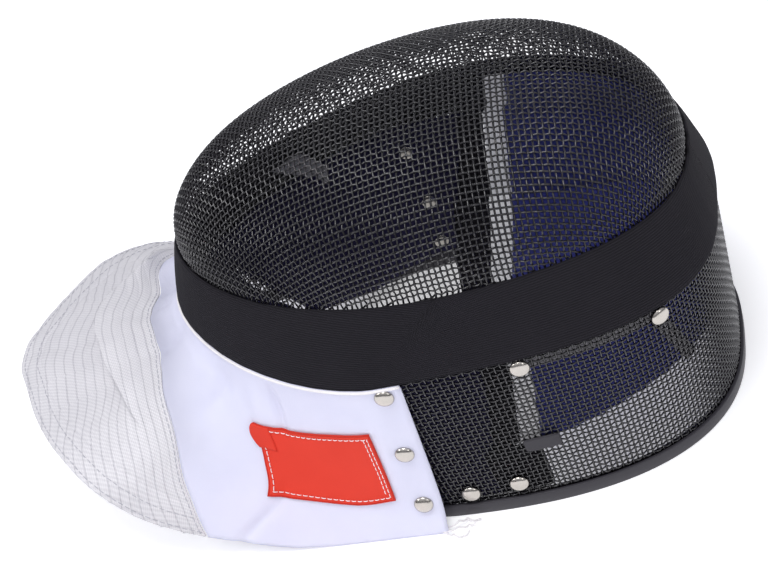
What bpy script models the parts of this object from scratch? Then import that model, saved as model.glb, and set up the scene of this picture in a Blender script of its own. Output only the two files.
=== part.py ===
"""Fencing mask lying on its back, face up.

A cage of wire mesh, in a front dome and a side wall, meets under a band of webbing. A plastic
rim edges the cage, a cloth bib with a conductive front is riveted round the chin, and a padded
crown cup, a chin liner and two straps hold the head inside.
"""
import math

import bpy
import numpy as np
from mathutils import Matrix, Vector

# Frame, in metres: +X to the top of the head, -X to the chin, +Z out of the face.
# The wearer's left side is at -Y. The rim lies on the plane z = 0.

CLEARANCE = 0.0004

# Rim, a plastic channel on the back edge of the cage. It rises towards the chin.
RIM_CHIN_X = -0.0855
RIM_WIDEST_X = 0.0444
RIM_HEAD_X = 0.1947
RIM_HALF_WIDTH = 0.0999
RIM_CHIN_LIFT = 0.0420
RIM_LIFT_START_X = -0.0030
RIM_HEIGHT = 0.0065
RIM_LEG = 0.0014
RIM_WEB = 0.0020

# Lower edge of the webbing band, the widest oval of the cage
LOW_CHIN_X = -0.0928
LOW_WIDEST_X = 0.0256
LOW_HEAD_X = 0.1972
WALL_FLARE = 0.0024
LOW_HALF_WIDTH = RIM_HALF_WIDTH + WALL_FLARE
LOW_HEIGHT = 0.1031
LOW_TILT = 0.0070
LOW_HOLLOW = 0.0058
LOW_TWIST = 0.0029

# Upper edge of the webbing band
TOP_CHIN_X = -0.0803
TOP_WIDEST_X = 0.0656
TOP_HEAD_X = 0.1894
BAND_SLOPE = 0.0140
TOP_HALF_WIDTH = LOW_HALF_WIDTH - BAND_SLOPE
TOP_HEIGHT = 0.1410
TOP_TILT = 0.0129
TOP_HOLLOW = 0.0062
TOP_TWIST = 0.0109

# Both edges of the band rise and fall along X about this middle
BAND_MIDDLE_X = 0.0548
BAND_HALF_LENGTH = 0.1450
BAND_THICKNESS = 0.0013
BAND_GAP = 0.0007

# Front dome
APEX_X = 0.0722
APEX_HEIGHT = 0.2016
MESH_THICKNESS = 0.0012
BAR_WIDTH = 0.0050
DOME_SKIRT = 1.49
DOME_GAP = 0.0006
WALL_PITCHES = 26
WALL_BAR_SHARE = 0.2

# Bib. Its free edge lies on the floor at the sides and stands up at the tip.
BIB_TIP_X = -0.1972
BIB_REAR_X = 0.0393
BIB_STANDOFF = 0.0111
BIB_HALF_WIDTH = RIM_HALF_WIDTH + BIB_STANDOFF
BIB_TIP_LIFT = 0.0600
HEM_GAP = 0.0012
HEM_HEIGHT = 0.0030
BIB_THICKNESS = 0.0015
BIB_FOLD = 0.0040
SEAM_GAP = 0.0010
PATCH_THICKNESS = 0.0010
PATCH_GAP = 0.0015

# Rivets
RIVET_RADIUS = 0.0050
RIVET_HEIGHT = 0.0024

# Padding and straps inside
LINING_GAP = 0.0009
PAD_THICKNESS = 0.0050
PAD_FRONT_X = 0.0880
PAD_SKEW = 0.0130
PAD_FLOOR_HEIGHT = 0.0200
CUP_MIDDLE_X = 0.0400
CUP_REACH = 0.60
CUP_TOP_LEVEL = 1.49
LINER_THICKNESS = 0.0030
STRAP_WIDTH = 0.0110
ELASTIC_WIDTH = 0.0130
STRAP_THICKNESS = 0.0014
ANCHOR_LENGTH = 0.0180
TAB_LENGTH = 0.0180
TAB_HEIGHT = 0.0085
TAB_THICKNESS = 0.0012

# Exponents of the ovals: 2 is an ellipse, more is boxier, less is more pointed
RIM_POWERS = {"chin": 1.70, "head": 2.55}
LOW_POWERS = {"chin": 1.534, "head": 2.842}
TOP_POWERS = {"chin": 1.807, "head": 2.235}
CAP_POWERS = {"chin": 0.837, "head": 0.782, "rise": 0.986}

# Rows of the bib from its top edge to its free edge, as shares of the way out and down
BIB_PROFILE = (
    {"step": 0.00, "chin_out": 0.00, "chin_down": 0.00, "side_out": 0.00, "side_down": 0.00},
    {"step": 0.20, "chin_out": 0.10, "chin_down": 0.24, "side_out": 0.02, "side_down": 0.22},
    {"step": 0.40, "chin_out": 0.26, "chin_down": 0.46, "side_out": 0.06, "side_down": 0.44},
    {"step": 0.60, "chin_out": 0.50, "chin_down": 0.66, "side_out": 0.14, "side_down": 0.65},
    {"step": 0.80, "chin_out": 0.75, "chin_down": 0.84, "side_out": 0.36, "side_down": 0.85},
    {"step": 1.00, "chin_out": 1.00, "chin_down": 1.00, "side_out": 1.00, "side_down": 1.00},
)

# Free edge of the bib from the tip round to a rear corner: shares of its length, of its half
# width and of the tip's lift
BIB_EDGE = (
    {"round": 0.000, "along": 0.000, "wide": 0.000, "lift": 1.00},
    {"round": 0.035, "along": 0.005, "wide": 0.090, "lift": 1.01},
    {"round": 0.080, "along": 0.028, "wide": 0.210, "lift": 1.01},
    {"round": 0.175, "along": 0.074, "wide": 0.440, "lift": 0.97},
    {"round": 0.293, "along": 0.156, "wide": 0.700, "lift": 0.93},
    {"round": 0.387, "along": 0.241, "wide": 0.870, "lift": 0.77},
    {"round": 0.461, "along": 0.325, "wide": 0.945, "lift": 0.55},
    {"round": 0.529, "along": 0.410, "wide": 0.976, "lift": 0.38},
    {"round": 0.630, "along": 0.537, "wide": 0.996, "lift": 0.19},
    {"round": 0.714, "along": 0.643, "wide": 1.000, "lift": 0.05},
    {"round": 0.798, "along": 0.748, "wide": 1.000, "lift": 0.00},
    {"round": 1.000, "along": 1.000, "wide": 1.000, "lift": 0.00},
)

# Where the conductive cloth starts, on the wearer's left and right, as a share of the way down
FRONT_SEAM = (
    {"round": 0.00, "left": 0.33, "right": 0.33},
    {"round": 0.13, "left": 0.35, "right": 0.40},
    {"round": 0.27, "left": 0.46, "right": 0.62},
    {"round": 0.37, "left": 0.64, "right": 0.73},
    {"round": 0.45, "left": 0.81, "right": 0.84},
    {"round": 0.55, "left": 0.95, "right": 0.95},
)

# The hem under the band, as a share of the bib's way down
HEM_SHARE = 0.05

# Corners of the patch, as shares round and down the bib
PATCH_CORNERS = (
    {"name": "front_top", "round": -0.534, "down": 0.371},
    {"name": "rear_top", "round": -0.887, "down": 0.245},
    {"name": "front_foot", "round": -0.605, "down": 0.795},
    {"name": "rear_foot", "round": -0.906, "down": 0.715},
)

# Soft folds of the bib: place round it, half width, and rise as a share of BIB_FOLD
FOLDS = (
    {"round": -0.86, "width": 0.05, "rise": 0.45},
    {"round": -0.60, "width": 0.10, "rise": -0.60},
    {"round": -0.30, "width": 0.12, "rise": 0.80},
    {"round": 0.05, "width": 0.14, "rise": -0.70},
    {"round": 0.38, "width": 0.12, "rise": 0.90},
    {"round": 0.66, "width": 0.10, "rise": -0.50},
)

# Rivets on each side: round the bib and down it, or along the side wall and up it
BIB_RIVETS = (
    {"name": "bib_top", "round": 0.986, "down": 0.03, "proud": 0.0004},
    {"name": "bib_middle", "round": 0.985, "down": 0.41, "proud": 0.0006},
    {"name": "bib_foot", "round": 0.984, "down": 0.77, "proud": 0.0009},
)
WALL_RIVETS = (
    {"name": "rim_front", "along": 0.094, "level": 0.145},
    {"name": "rim_rear", "along": 0.259, "level": 0.165},
    {"name": "strap", "along": 0.380, "level": 0.935},
    {"name": "crown", "along": 0.821, "level": 0.935},
)

RIM_COLOUR = (0.050, 0.047, 0.054)
WIRE_COLOUR = (0.022, 0.021, 0.025)
WEBBING_COLOUR = (0.028, 0.027, 0.031)
WHITE_COLOUR = (0.87, 0.86, 0.98)
LAME_COLOUR = (0.66, 0.66, 0.70)
PATCH_COLOUR = (0.90, 0.08, 0.05)
NICKEL_COLOUR = (0.66, 0.63, 0.58)
NAVY_COLOUR = (0.013, 0.015, 0.085)
DARK_LINER_COLOUR = (0.012, 0.012, 0.035)
STRAP_COLOUR = (0.62, 0.60, 0.60)
ELASTIC_COLOUR = (0.015, 0.014, 0.018)

MESH_DEPTH = BAND_THICKNESS + BAND_GAP
LINING_DEPTH = MESH_DEPTH + MESH_THICKNESS + LINING_GAP


def power(value, exponent):
    """Signed power, for superellipses."""
    return np.sign(value) * np.abs(value) ** exponent


def smooth(share):
    """Smooth step from 0 to 1."""
    share = np.clip(share, 0.0, 1.0)
    return share * share * (3.0 - 2.0 * share)


def oval(angle, chin_x, widest_x, head_x, half_width, powers):
    """Plan of an egg-shaped ring: angle 0 at the top of the head, pi at the chin."""
    across = np.cos(angle)
    headward = across > 0.0
    exponent = 2.0 / np.where(headward, powers["head"], powers["chin"])
    reach = np.where(headward, head_x - widest_x, widest_x - chin_x)
    x = widest_x + reach * power(across, exponent)
    y = half_width * power(np.sin(angle), exponent)
    return x, y


def rise(x, height, tilt, hollow, twist):
    """Height of an edge of the band along X."""
    along = (x - BAND_MIDDLE_X) / BAND_HALF_LENGTH
    return height + tilt * along - hollow * along ** 2 - twist * along ** 3


def rim_ring(angle):
    """Foot of the cage: flat on the floor, lifted at the chin."""
    x, y = oval(angle, RIM_CHIN_X, RIM_WIDEST_X, RIM_HEAD_X, RIM_HALF_WIDTH, RIM_POWERS)
    lifted = smooth((RIM_LIFT_START_X - x) / (RIM_LIFT_START_X - RIM_CHIN_X))
    return np.stack([x, y, RIM_CHIN_LIFT * lifted], axis=-1)


def low_ring(angle):
    """Lower edge of the band."""
    x, y = oval(angle, LOW_CHIN_X, LOW_WIDEST_X, LOW_HEAD_X, LOW_HALF_WIDTH, LOW_POWERS)
    return np.stack([x, y, rise(x, LOW_HEIGHT, LOW_TILT, LOW_HOLLOW, LOW_TWIST)], axis=-1)


def top_ring(angle):
    """Upper edge of the band."""
    x, y = oval(angle, TOP_CHIN_X, TOP_WIDEST_X, TOP_HEAD_X, TOP_HALF_WIDTH, TOP_POWERS)
    return np.stack([x, y, rise(x, TOP_HEIGHT, TOP_TILT, TOP_HOLLOW, TOP_TWIST)], axis=-1)


def wall(angle, level):
    """Outside of the cage: level 0 at the rim, 1 and 2 at the band's edges, 3 at the apex."""
    angle, level = np.broadcast_arrays(angle, level)
    foot, low, top = rim_ring(angle), low_ring(angle), top_ring(angle)
    below = np.clip(level, 0.0, 1.0)[..., None]
    above = np.clip(level - 1.0, 0.0, 1.0)[..., None]
    points = foot + (low - foot) * below + (top - low) * above
    radius = np.clip(3.0 - level, 0.0, 1.0)
    spread = np.where(top[..., 0] > APEX_X, CAP_POWERS["head"], CAP_POWERS["chin"])
    climb = np.sin(np.arccos(radius ** (1.0 / spread))) ** CAP_POWERS["rise"]
    apex = np.array([APEX_X, 0.0, APEX_HEIGHT])
    dome = apex + (top - apex) * radius[..., None]
    dome[..., 2] = top[..., 2] + (APEX_HEIGHT - top[..., 2]) * climb
    return np.where(level[..., None] > 2.0, dome, points)


def disc(along, across):
    """Radius and angle on the unit disc of a point of the square from -1 to 1."""
    right = along * np.sqrt(1.0 - across ** 2 / 2.0)
    left = across * np.sqrt(1.0 - along ** 2 / 2.0)
    return np.hypot(right, left), np.arctan2(left, right)


def dome_place(along, across):
    """Angle and level of a point of the square over the dome; beyond 1 it runs behind the band."""
    beyond = np.maximum(np.maximum(np.abs(along), np.abs(across)), 1.0)
    radius, angle = disc(along / beyond, across / beyond)
    return angle, 4.0 - beyond - np.clip(radius, 0.0, 1.0)


def inset(surface, first, second, depth):
    """Points of a surface moved inward by a depth along its normal."""
    step = 1.0e-4
    first, second = np.broadcast_arrays(first, second)
    one = surface(first + step, second) - surface(first - step, second)
    two = surface(first, second + step) - surface(first, second - step)
    normal = np.cross(one, two)
    normal /= np.maximum(np.linalg.norm(normal, axis=-1, keepdims=True), 1.0e-30)
    return surface(first, second) - normal * np.asarray(depth)[..., None]


def girth_angle(share):
    """Angle at a share of the wall's girth, half way up it."""
    dense = np.linspace(0.0, 2.0 * math.pi, 1441)
    points = wall(dense, 0.5)
    lengths = np.concatenate([[0.0], np.cumsum(np.linalg.norm(np.diff(points, axis=0), axis=1))])
    return np.interp(share * lengths[-1], lengths, dense)


def stations():
    """Angles round the wall: each pitch of the net is one bar and the two halves of a gap."""
    starts = np.arange(WALL_PITCHES)[:, None] + np.array([0.0, WALL_BAR_SHARE, 0.5 + WALL_BAR_SHARE / 2.0])
    return girth_angle(starts.ravel() / WALL_PITCHES)


def level_of(angle, height):
    """Level of a height above the wall's foot."""
    return height / np.linalg.norm(low_ring(angle) - rim_ring(angle), axis=-1)


def angle_at(x, level):
    """Angle, on the +Y half, where the wall at a level stands at a given x."""
    dense = np.linspace(math.pi, 0.0, 721)
    return float(np.interp(x, wall(dense, level)[:, 0], dense))


def column(table, name):
    """One named column of a table."""
    return np.array([row[name] for row in table])


def curve(table, across, name, share):
    """Smooth curve of a table's column over another, at a share."""
    x, y = column(table, across), column(table, name)
    slope = np.gradient(y, x)
    share = np.clip(share, x[0], x[-1])
    row = np.clip(np.searchsorted(x, share) - 1, 0, len(x) - 2)
    width = x[row + 1] - x[row]
    t = (share - x[row]) / width
    ease = t * t * (3.0 - 2.0 * t)
    out = t * (1.0 - t) ** 2 * slope[row] - t * t * (1.0 - t) * slope[row + 1]
    return y[row] + (y[row + 1] - y[row]) * ease + out * width


def material(name, colour, roughness, metallic=0.0):
    """Principled material, made once for each name."""
    made = bpy.data.materials.get(name)
    if made is None:
        made = bpy.data.materials.new(name)
        made.use_nodes = True
        shader = made.node_tree.nodes["Principled BSDF"]
        shader.inputs["Base Color"].default_value = (*colour, 1.0)
        shader.inputs["Roughness"].default_value = roughness
        shader.inputs["Metallic"].default_value = metallic
    return made


def add_object(name, mesh, finish):
    """Links a mesh to the scene under a node's name, shaded smooth."""
    mesh.shade_smooth()
    if not mesh.materials:
        mesh.materials.append(finish)
    piece = bpy.data.objects.new(name, mesh)
    bpy.context.scene.collection.objects.link(piece)
    return piece


def sheet(name, points, thickness, finish, keep=None, closed=False):
    """Wall of cloth or mesh: a grid of points, less its gaps, thickened inward."""
    rows, columns = points.shape[:2]
    steps = rows if closed else rows - 1
    faces = []
    for i in range(steps):
        for j in range(columns - 1):
            if keep is None or keep[i][j]:
                k = (i + 1) % rows
                faces.append((i * columns + j, k * columns + j, k * columns + j + 1, i * columns + j + 1))
    used = sorted({corner for face in faces for corner in face})
    place = {corner: index for index, corner in enumerate(used)}
    flat = points.reshape(-1, 3)
    mesh = bpy.data.meshes.new(name)
    mesh.from_pydata([flat[corner] for corner in used], [], [[place[c] for c in face] for face in faces])
    piece = add_object(name, mesh, finish)
    solid = piece.modifiers.new("thickness", "SOLIDIFY")
    solid.thickness = thickness
    solid.offset = -1.0
    solid.use_even_offset = False
    return piece


def sweep_ring(name, sections, finish):
    """Closed ring of closed sections."""
    rows, corners = sections.shape[:2]
    faces = []
    for i in range(rows):
        k = (i + 1) % rows
        for j in range(corners):
            m = (j + 1) % corners
            faces.append((i * corners + j, k * corners + j, k * corners + m, i * corners + m))
    mesh = bpy.data.meshes.new(name)
    mesh.from_pydata(sections.reshape(-1, 3), [], faces)
    return add_object(name, mesh, finish)


def gap_pattern(start, stop, gaps, bar):
    """Grid lines for a row of gaps with bars between, and which steps are gaps."""
    pitch = (stop - start) / gaps
    lines = [start]
    opened = []
    for index in range(gaps):
        left = start + index * pitch
        lines += [left + bar / 2.0, left + pitch - bar / 2.0]
        opened += [False, True]
    lines.append(stop)
    opened.append(False)
    return np.array(lines), opened


def make_front_mesh():
    """Dome of the cage, cut through in a coarse net; its foot is hidden behind the band."""
    span = TOP_HEAD_X - TOP_CHIN_X
    along, along_open = gap_pattern(-0.965, 0.965, 12, 2.0 * BAR_WIDTH / span)
    across, across_open = gap_pattern(-0.95, 0.95, 6, BAR_WIDTH / TOP_HALF_WIDTH)
    along = np.concatenate([[-DOME_SKIRT, -1.0], along, [1.0, DOME_SKIRT]])
    across = np.concatenate([[-DOME_SKIRT, -1.0], across, [1.0, DOME_SKIRT]])
    along_open = [False, False, *along_open, False, False]
    across_open = [False, False, *across_open, False, False]
    keep = [[not (a and b) for b in across_open] for a in along_open]
    grid_along, grid_across = np.meshgrid(along, across, indexing="ij")
    angle, level = dome_place(grid_along, grid_across)
    depth = (MESH_DEPTH + DOME_GAP) * smooth((2.25 - level) / 0.25)
    points = inset(wall, angle, level, depth)
    return sheet("front_mesh", points, MESH_THICKNESS, material("front_wire", WIRE_COLOUR, 0.5), keep)


def make_side_mesh():
    """Wall of the cage from the rim's channel to the middle of the band, in a coarse net."""
    angles = stations()
    foot = level_of(angles, RIM_WEB + CLEARANCE)
    rows = (0.20, 0.52, 0.57, 0.86, 1.0, 3.0 - DOME_SKIRT - 0.015)
    row_open = (False, True, False, True, False, False)
    levels = np.stack([foot] + [np.full(len(angles), row) for row in rows], axis=1)
    grid_angle = np.repeat(angles[:, None], levels.shape[1], axis=1)
    keep = [[not (i % 3 and opened) for opened in row_open] for i in range(len(angles))]
    points = inset(wall, grid_angle, levels, MESH_DEPTH)
    finish = material("side_wire", WIRE_COLOUR, 0.5)
    return sheet("side_mesh", points, MESH_THICKNESS, finish, keep, closed=True)


def make_seam_band():
    """Webbing band over the joint of the two meshes."""
    grid_angle, grid_level = np.meshgrid(stations(), [1.0, 2.0], indexing="ij")
    points = wall(grid_angle, grid_level)
    return sheet("seam_band", points, BAND_THICKNESS, material("webbing", WEBBING_COLOUR, 0.8), closed=True)


def make_rim_trim():
    """U-shaped channel that clasps the foot of the side mesh."""
    slot_outer = MESH_DEPTH - CLEARANCE
    slot_inner = MESH_DEPTH + MESH_THICKNESS + CLEARANCE
    inner = slot_inner + RIM_LEG
    section = (
        (0.0, 0.0), (0.0, RIM_HEIGHT), (slot_outer, RIM_HEIGHT), (slot_outer, RIM_WEB),
        (slot_inner, RIM_WEB), (slot_inner, RIM_HEIGHT), (inner, RIM_HEIGHT), (inner, 0.0),
    )
    angles = stations()
    foot = wall(angles, 0.0)
    step = 1.0e-4
    tangent = wall(angles + step, 0.0) - wall(angles - step, 0.0)
    outward = np.stack([tangent[:, 1], -tangent[:, 0], np.zeros(len(angles))], axis=1)
    outward /= np.linalg.norm(outward, axis=1, keepdims=True)
    upward = low_ring(angles) - foot
    upward /= np.linalg.norm(upward, axis=1, keepdims=True)
    rows = [foot - outward * depth + upward * height for depth, height in section]
    return sweep_ring("rim_trim", np.stack(rows, axis=1), material("rim_plastic", RIM_COLOUR, 0.45))


def bib_edge(share):
    """Free edge of the bib: share 0 at the tip, 1 and -1 at the rear corners."""
    round_share = np.abs(share)
    x = BIB_TIP_X + (BIB_REAR_X - BIB_TIP_X) * curve(BIB_EDGE, "round", "along", round_share)
    y = BIB_HALF_WIDTH * curve(BIB_EDGE, "round", "wide", round_share) * np.sign(share)
    z = BIB_TIP_LIFT * curve(BIB_EDGE, "round", "lift", round_share)
    return np.stack([x, y, np.maximum(z, 0.0) + 0.6 * BIB_THICKNESS], axis=-1)


def bib(share, down):
    """Outside of the bib: share round it from -1 to 1, down from the band to the free edge."""
    share, down = np.broadcast_arrays(share, down)
    rear_angle = angle_at(BIB_REAR_X, 1.0)
    angle = math.pi - share * (math.pi - rear_angle)
    top = wall(angle, 1.0 - level_of(angle, HEM_GAP))
    start = wall(angle, 1.0 - level_of(angle, HEM_GAP + HEM_HEIGHT))
    edge = bib_edge(share)
    side = smooth(np.abs(share) / 0.9)
    profile = {name: curve(BIB_PROFILE, "step", name, down) for name in BIB_PROFILE[0]}
    out = profile["chin_out"] + (profile["side_out"] - profile["chin_out"]) * side
    drop = profile["chin_down"] + (profile["side_down"] - profile["chin_down"]) * side
    points = start + (edge - start) * out[..., None]
    points[..., 2] = start[..., 2] + (edge[..., 2] - start[..., 2]) * drop
    fold = sum(row["rise"] * np.exp(-((share - row["round"]) / row["width"]) ** 2) for row in FOLDS)
    points[..., 2] += BIB_FOLD * fold * np.sin(math.pi * np.clip(down, 0.0, 1.0)) * (1.0 - side)
    hem = np.clip(-down / HEM_SHARE, 0.0, 1.0)[..., None]
    return points + (top - start) * hem


def seam_start(share):
    """How far down the bib the conductive cloth starts."""
    left = curve(FRONT_SEAM, "round", "left", np.abs(share))
    right = curve(FRONT_SEAM, "round", "right", np.abs(share))
    return np.where(share < 0.0, left, right)


def bib_stations():
    """Shares round the bib, common to its two cloths."""
    return np.linspace(-1.0, 1.0, 49)


def make_bib_white():
    """White cloth of the bib, from under the band to the conductive front or to the floor."""
    shares = bib_stations()
    gap = SEAM_GAP / (LOW_CHIN_X - BIB_TIP_X)
    covered = np.abs(shares) <= FRONT_SEAM[-1]["round"]
    end = np.where(covered, seam_start(shares) - gap, 1.0)
    rows = np.linspace(0.0, 1.0, 6)
    down = np.concatenate([np.full((len(shares), 1), -HEM_SHARE), end[:, None] * rows[None, :]], axis=1)
    grid_share = np.repeat(shares[:, None], down.shape[1], axis=1)
    finish = material("white_cloth", WHITE_COLOUR, 0.85)
    return sheet("bib_white", bib(grid_share, down), BIB_THICKNESS, finish)


def make_bib_front():
    """Conductive cloth that covers the front of the bib."""
    shares = bib_stations()
    shares = shares[np.abs(shares) <= FRONT_SEAM[-1]["round"]]
    rows = np.linspace(0.0, 1.0, 6)
    start = seam_start(shares)
    grid_share = np.repeat(shares[:, None], len(rows), axis=1)
    grid_down = start[:, None] + (1.0 - start)[:, None] * rows[None, :]
    finish = material("conductive_cloth", LAME_COLOUR, 0.5, 0.4)
    return sheet("bib_front", bib(grid_share, grid_down), BIB_THICKNESS, finish)


def make_patch():
    """Plain cloth patch sewn on the near side of the bib."""
    back, drop = np.meshgrid(np.linspace(1.0, 0.0, 8), np.linspace(0.0, 1.0, 5), indexing="ij")
    weights = ((1.0 - back) * (1.0 - drop), back * (1.0 - drop), (1.0 - back) * drop, back * drop)
    share = sum(weight * row["round"] for weight, row in zip(weights, PATCH_CORNERS))
    down = sum(weight * row["down"] for weight, row in zip(weights, PATCH_CORNERS))
    points = inset(bib, share, down, -PATCH_GAP - PATCH_THICKNESS)
    return sheet("patch", points, PATCH_THICKNESS, material("patch_cloth", PATCH_COLOUR, 0.85))


def pad_lead(across):
    """Where the crown cup starts, along the square, at a place across it."""
    wall_lead = 0.342
    floor_lead = 0.080
    return floor_lead + (wall_lead - floor_lead) * across ** 2


def cup(angle, radius):
    """Outside of the crown cup: radius 1 up the wall behind the band, 0 under the head."""
    angle, radius = np.broadcast_arrays(angle, radius)
    x = wall(angle, 0.5)[..., 0]
    leave = 0.42 + 0.20 * smooth((x - PAD_FRONT_X) / (LOW_HEAD_X - PAD_FRONT_X))
    level = leave + (CUP_TOP_LEVEL - leave) * np.clip((radius - CUP_REACH) / (1.0 - CUP_REACH), 0.0, 1.0)
    points = wall(angle, level)
    swing = math.pi / 2.0 * np.clip(radius / CUP_REACH, 0.0, 1.0)
    centre = np.array([CUP_MIDDLE_X, 0.0])
    points[..., :2] = centre + (points[..., :2] - centre) * np.sin(swing)[..., None]
    points[..., 2] -= (points[..., 2] - PAD_FLOOR_HEIGHT) * np.cos(swing)
    return points


def cup_points(across, ahead):
    """Points on the cup a distance ahead of its front edge, or a share back to its far end."""
    lead = pad_lead(across)
    back = lead + (1.0 - lead) * np.clip(-ahead, 0.0, 1.0)
    place = [np.array(cup(angle, radius)) for radius, angle in (cup_place(across, lead + 0.001),
                                                             cup_place(across, lead - 0.001))]
    scale = np.linalg.norm(place[0] - place[1], axis=-1) / 0.002
    radius, angle = cup_place(across, back - np.clip(ahead, 0.0, 1.0) / scale)
    return inset(cup, angle, radius, LINING_DEPTH)


def cup_place(across, along):
    """Radius and angle in the cup of a point of the square, skewed from side to side."""
    skew = PAD_SKEW / (LOW_HEAD_X - LOW_WIDEST_X) * across * (1.0 - np.clip(along, 0.0, 1.0))
    return disc(along - skew, across)


def make_crown_pad():
    """Padded cup that holds the crown of the head."""
    across, back = np.meshgrid(np.linspace(-1.0, 1.0, 25), np.linspace(0.0, 1.0, 10), indexing="ij")
    points = cup_points(across, -back)
    return sheet("crown_pad", points, PAD_THICKNESS, material("navy_pad", NAVY_COLOUR, 0.9))


def ribbon(name, start, width, finish):
    """Strap along the front edge of the crown cup, a distance ahead of it."""
    across, ahead = np.meshgrid(np.linspace(-1.0, 1.0, 25), [start + width, start], indexing="ij")
    return sheet(name, cup_points(across, ahead), STRAP_THICKNESS, finish)


def make_straps():
    """Light strap on the cup's front edge, and the dark elastic beside it."""
    strap = ribbon("back_strap", CLEARANCE, STRAP_WIDTH, material("strap_cloth", STRAP_COLOUR, 0.8))
    start = 2.0 * CLEARANCE + STRAP_WIDTH
    elastic = ribbon("back_elastic", start, ELASTIC_WIDTH, material("elastic", ELASTIC_COLOUR, 0.85))
    return strap, elastic


def liner_end(side):
    """Angle where the chin liner stops, just short of the elastic."""
    straps = STRAP_WIDTH + ELASTIC_WIDTH + 4.0 * CLEARANCE
    return angle_at(PAD_FRONT_X - side * PAD_SKEW - straps - 0.010, 0.5)


def make_chin_liner():
    """Dark liner inside the cheeks and the chin."""
    angles = np.linspace(liner_end(1.0), 2.0 * math.pi - liner_end(-1.0), 41)
    foot = level_of(angles, RIM_HEIGHT + 2.0 * CLEARANCE)
    levels = foot[:, None] + (0.97 - foot)[:, None] * np.linspace(0.0, 1.0, 4)[None, :]
    points = inset(wall, np.repeat(angles[:, None], 4, axis=1), levels, LINING_DEPTH)
    return sheet("chin_liner", points, LINER_THICKNESS, material("dark_liner", DARK_LINER_COLOUR, 0.9))


def wall_plate(name, side, centre_x, level_low, level_high, length, depth, thickness, finish):
    """Small plate that follows the side wall."""
    first = angle_at(centre_x - length / 2.0, 0.3)
    last = angle_at(centre_x + length / 2.0, 0.3)
    angles = np.linspace(last, first, 4) if side > 0 else np.linspace(-first, -last, 4)
    grid_angle, grid_level = np.meshgrid(angles, [level_low, level_high], indexing="ij")
    return sheet(name, inset(wall, grid_angle, grid_level, depth), thickness, finish)


def make_strap_fittings():
    """On each side, a webbing anchor inside the wall and a plastic tab outside it."""
    anchor_finish = material("anchor_webbing", ELASTIC_COLOUR, 0.85)
    tab_finish = material("tab_plastic", RIM_COLOUR, 0.45)
    tab_level = 0.42
    tab_half = TAB_HEIGHT / LOW_HEIGHT / 2.0
    for label, side in (("near", -1.0), ("far", 1.0)):
        anchor_x = PAD_FRONT_X - side * PAD_SKEW * 0.5 - STRAP_WIDTH / 2.0
        wall_plate("anchor_" + label, side, anchor_x, 0.09, 0.33, ANCHOR_LENGTH, LINING_DEPTH,
                   STRAP_THICKNESS, anchor_finish)
        outside = MESH_DEPTH - CLEARANCE - TAB_THICKNESS
        wall_plate("tab_" + label, side, anchor_x + ANCHOR_LENGTH / 2.0, tab_level - tab_half,
                   tab_level + tab_half, TAB_LENGTH, outside, TAB_THICKNESS, tab_finish)


def rivet_mesh():
    """Domed head, turned about Z, flat underneath."""
    profile = ((1.0, 0.0), (0.94, 0.42), (0.58, 0.86))
    sides = 9
    points = []
    for radius, height in profile:
        for step in range(sides):
            turn = 2.0 * math.pi * step / sides
            points.append((RIVET_RADIUS * radius * math.cos(turn), RIVET_RADIUS * radius * math.sin(turn),
                           RIVET_HEIGHT * height))
    points.append((0.0, 0.0, RIVET_HEIGHT))
    faces = [tuple(reversed(range(sides)))]
    for row in range(len(profile) - 1):
        for step in range(sides):
            after = (step + 1) % sides
            faces.append((row * sides + step, row * sides + after, (row + 1) * sides + after,
                          (row + 1) * sides + step))
    last = (len(profile) - 1) * sides
    faces += [(last + step, last + (step + 1) % sides, len(points) - 1) for step in range(sides)]
    mesh = bpy.data.meshes.new("rivet")
    mesh.from_pydata(points, [], faces)
    mesh.materials.append(material("nickel", NICKEL_COLOUR, 0.25, 1.0))
    return mesh


def place_rivet(name, mesh, surface, first, second, depth):
    """Seats a rivet flat on a surface, a clearance above it."""
    seat = Vector(inset(surface, first, second, depth - CLEARANCE))
    outer = Vector(inset(surface, first, second, depth - CLEARANCE - RIVET_HEIGHT))
    turn = (outer - seat).to_track_quat("Z", "Y").to_matrix().to_4x4()
    piece = add_object(name, mesh, mesh.materials[0])
    piece.matrix_world = Matrix.Translation(seat) @ turn


def make_rivets():
    """Rivets on both sides: three through each rear edge of the bib, four through the side wall."""
    mesh = rivet_mesh()
    for label, side in (("near", -1.0), ("far", 1.0)):
        for row in BIB_RIVETS:
            seat = CLEARANCE - row["proud"]
            place_rivet("rivet_" + row["name"] + "_" + label, mesh, bib, side * row["round"], row["down"], seat)
        for row in WALL_RIVETS:
            x = BIB_REAR_X + (RIM_HEAD_X - BIB_REAR_X) * row["along"]
            angle = side * angle_at(x, row["level"])
            place_rivet("rivet_" + row["name"] + "_" + label, mesh, wall, angle, row["level"], MESH_DEPTH)


def main():
    """Builds the mask."""
    for old in list(bpy.data.objects):
        bpy.data.objects.remove(old, do_unlink=True)
    make_front_mesh()
    make_side_mesh()
    make_seam_band()
    make_rim_trim()
    make_bib_white()
    make_bib_front()
    make_patch()
    make_crown_pad()
    make_straps()
    make_chin_liner()
    make_strap_fittings()
    make_rivets()


main()
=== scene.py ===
# %% [markdown]
# Fencing mask, lying on its back with the face up. A dome of woven wire covers the face, a wall of
# the same wire goes round the sides, and a webbing band hides the joint. Inside are a padded cup
# for the crown, a liner for the cheeks and two straps. A cloth bib hangs from the chin.
# The solid model is loaded first as a fixed frame, and each visible piece is then made over it.

# %% Frame
import math

import bpy
import numpy as np
from mathutils import Matrix, Vector


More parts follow.
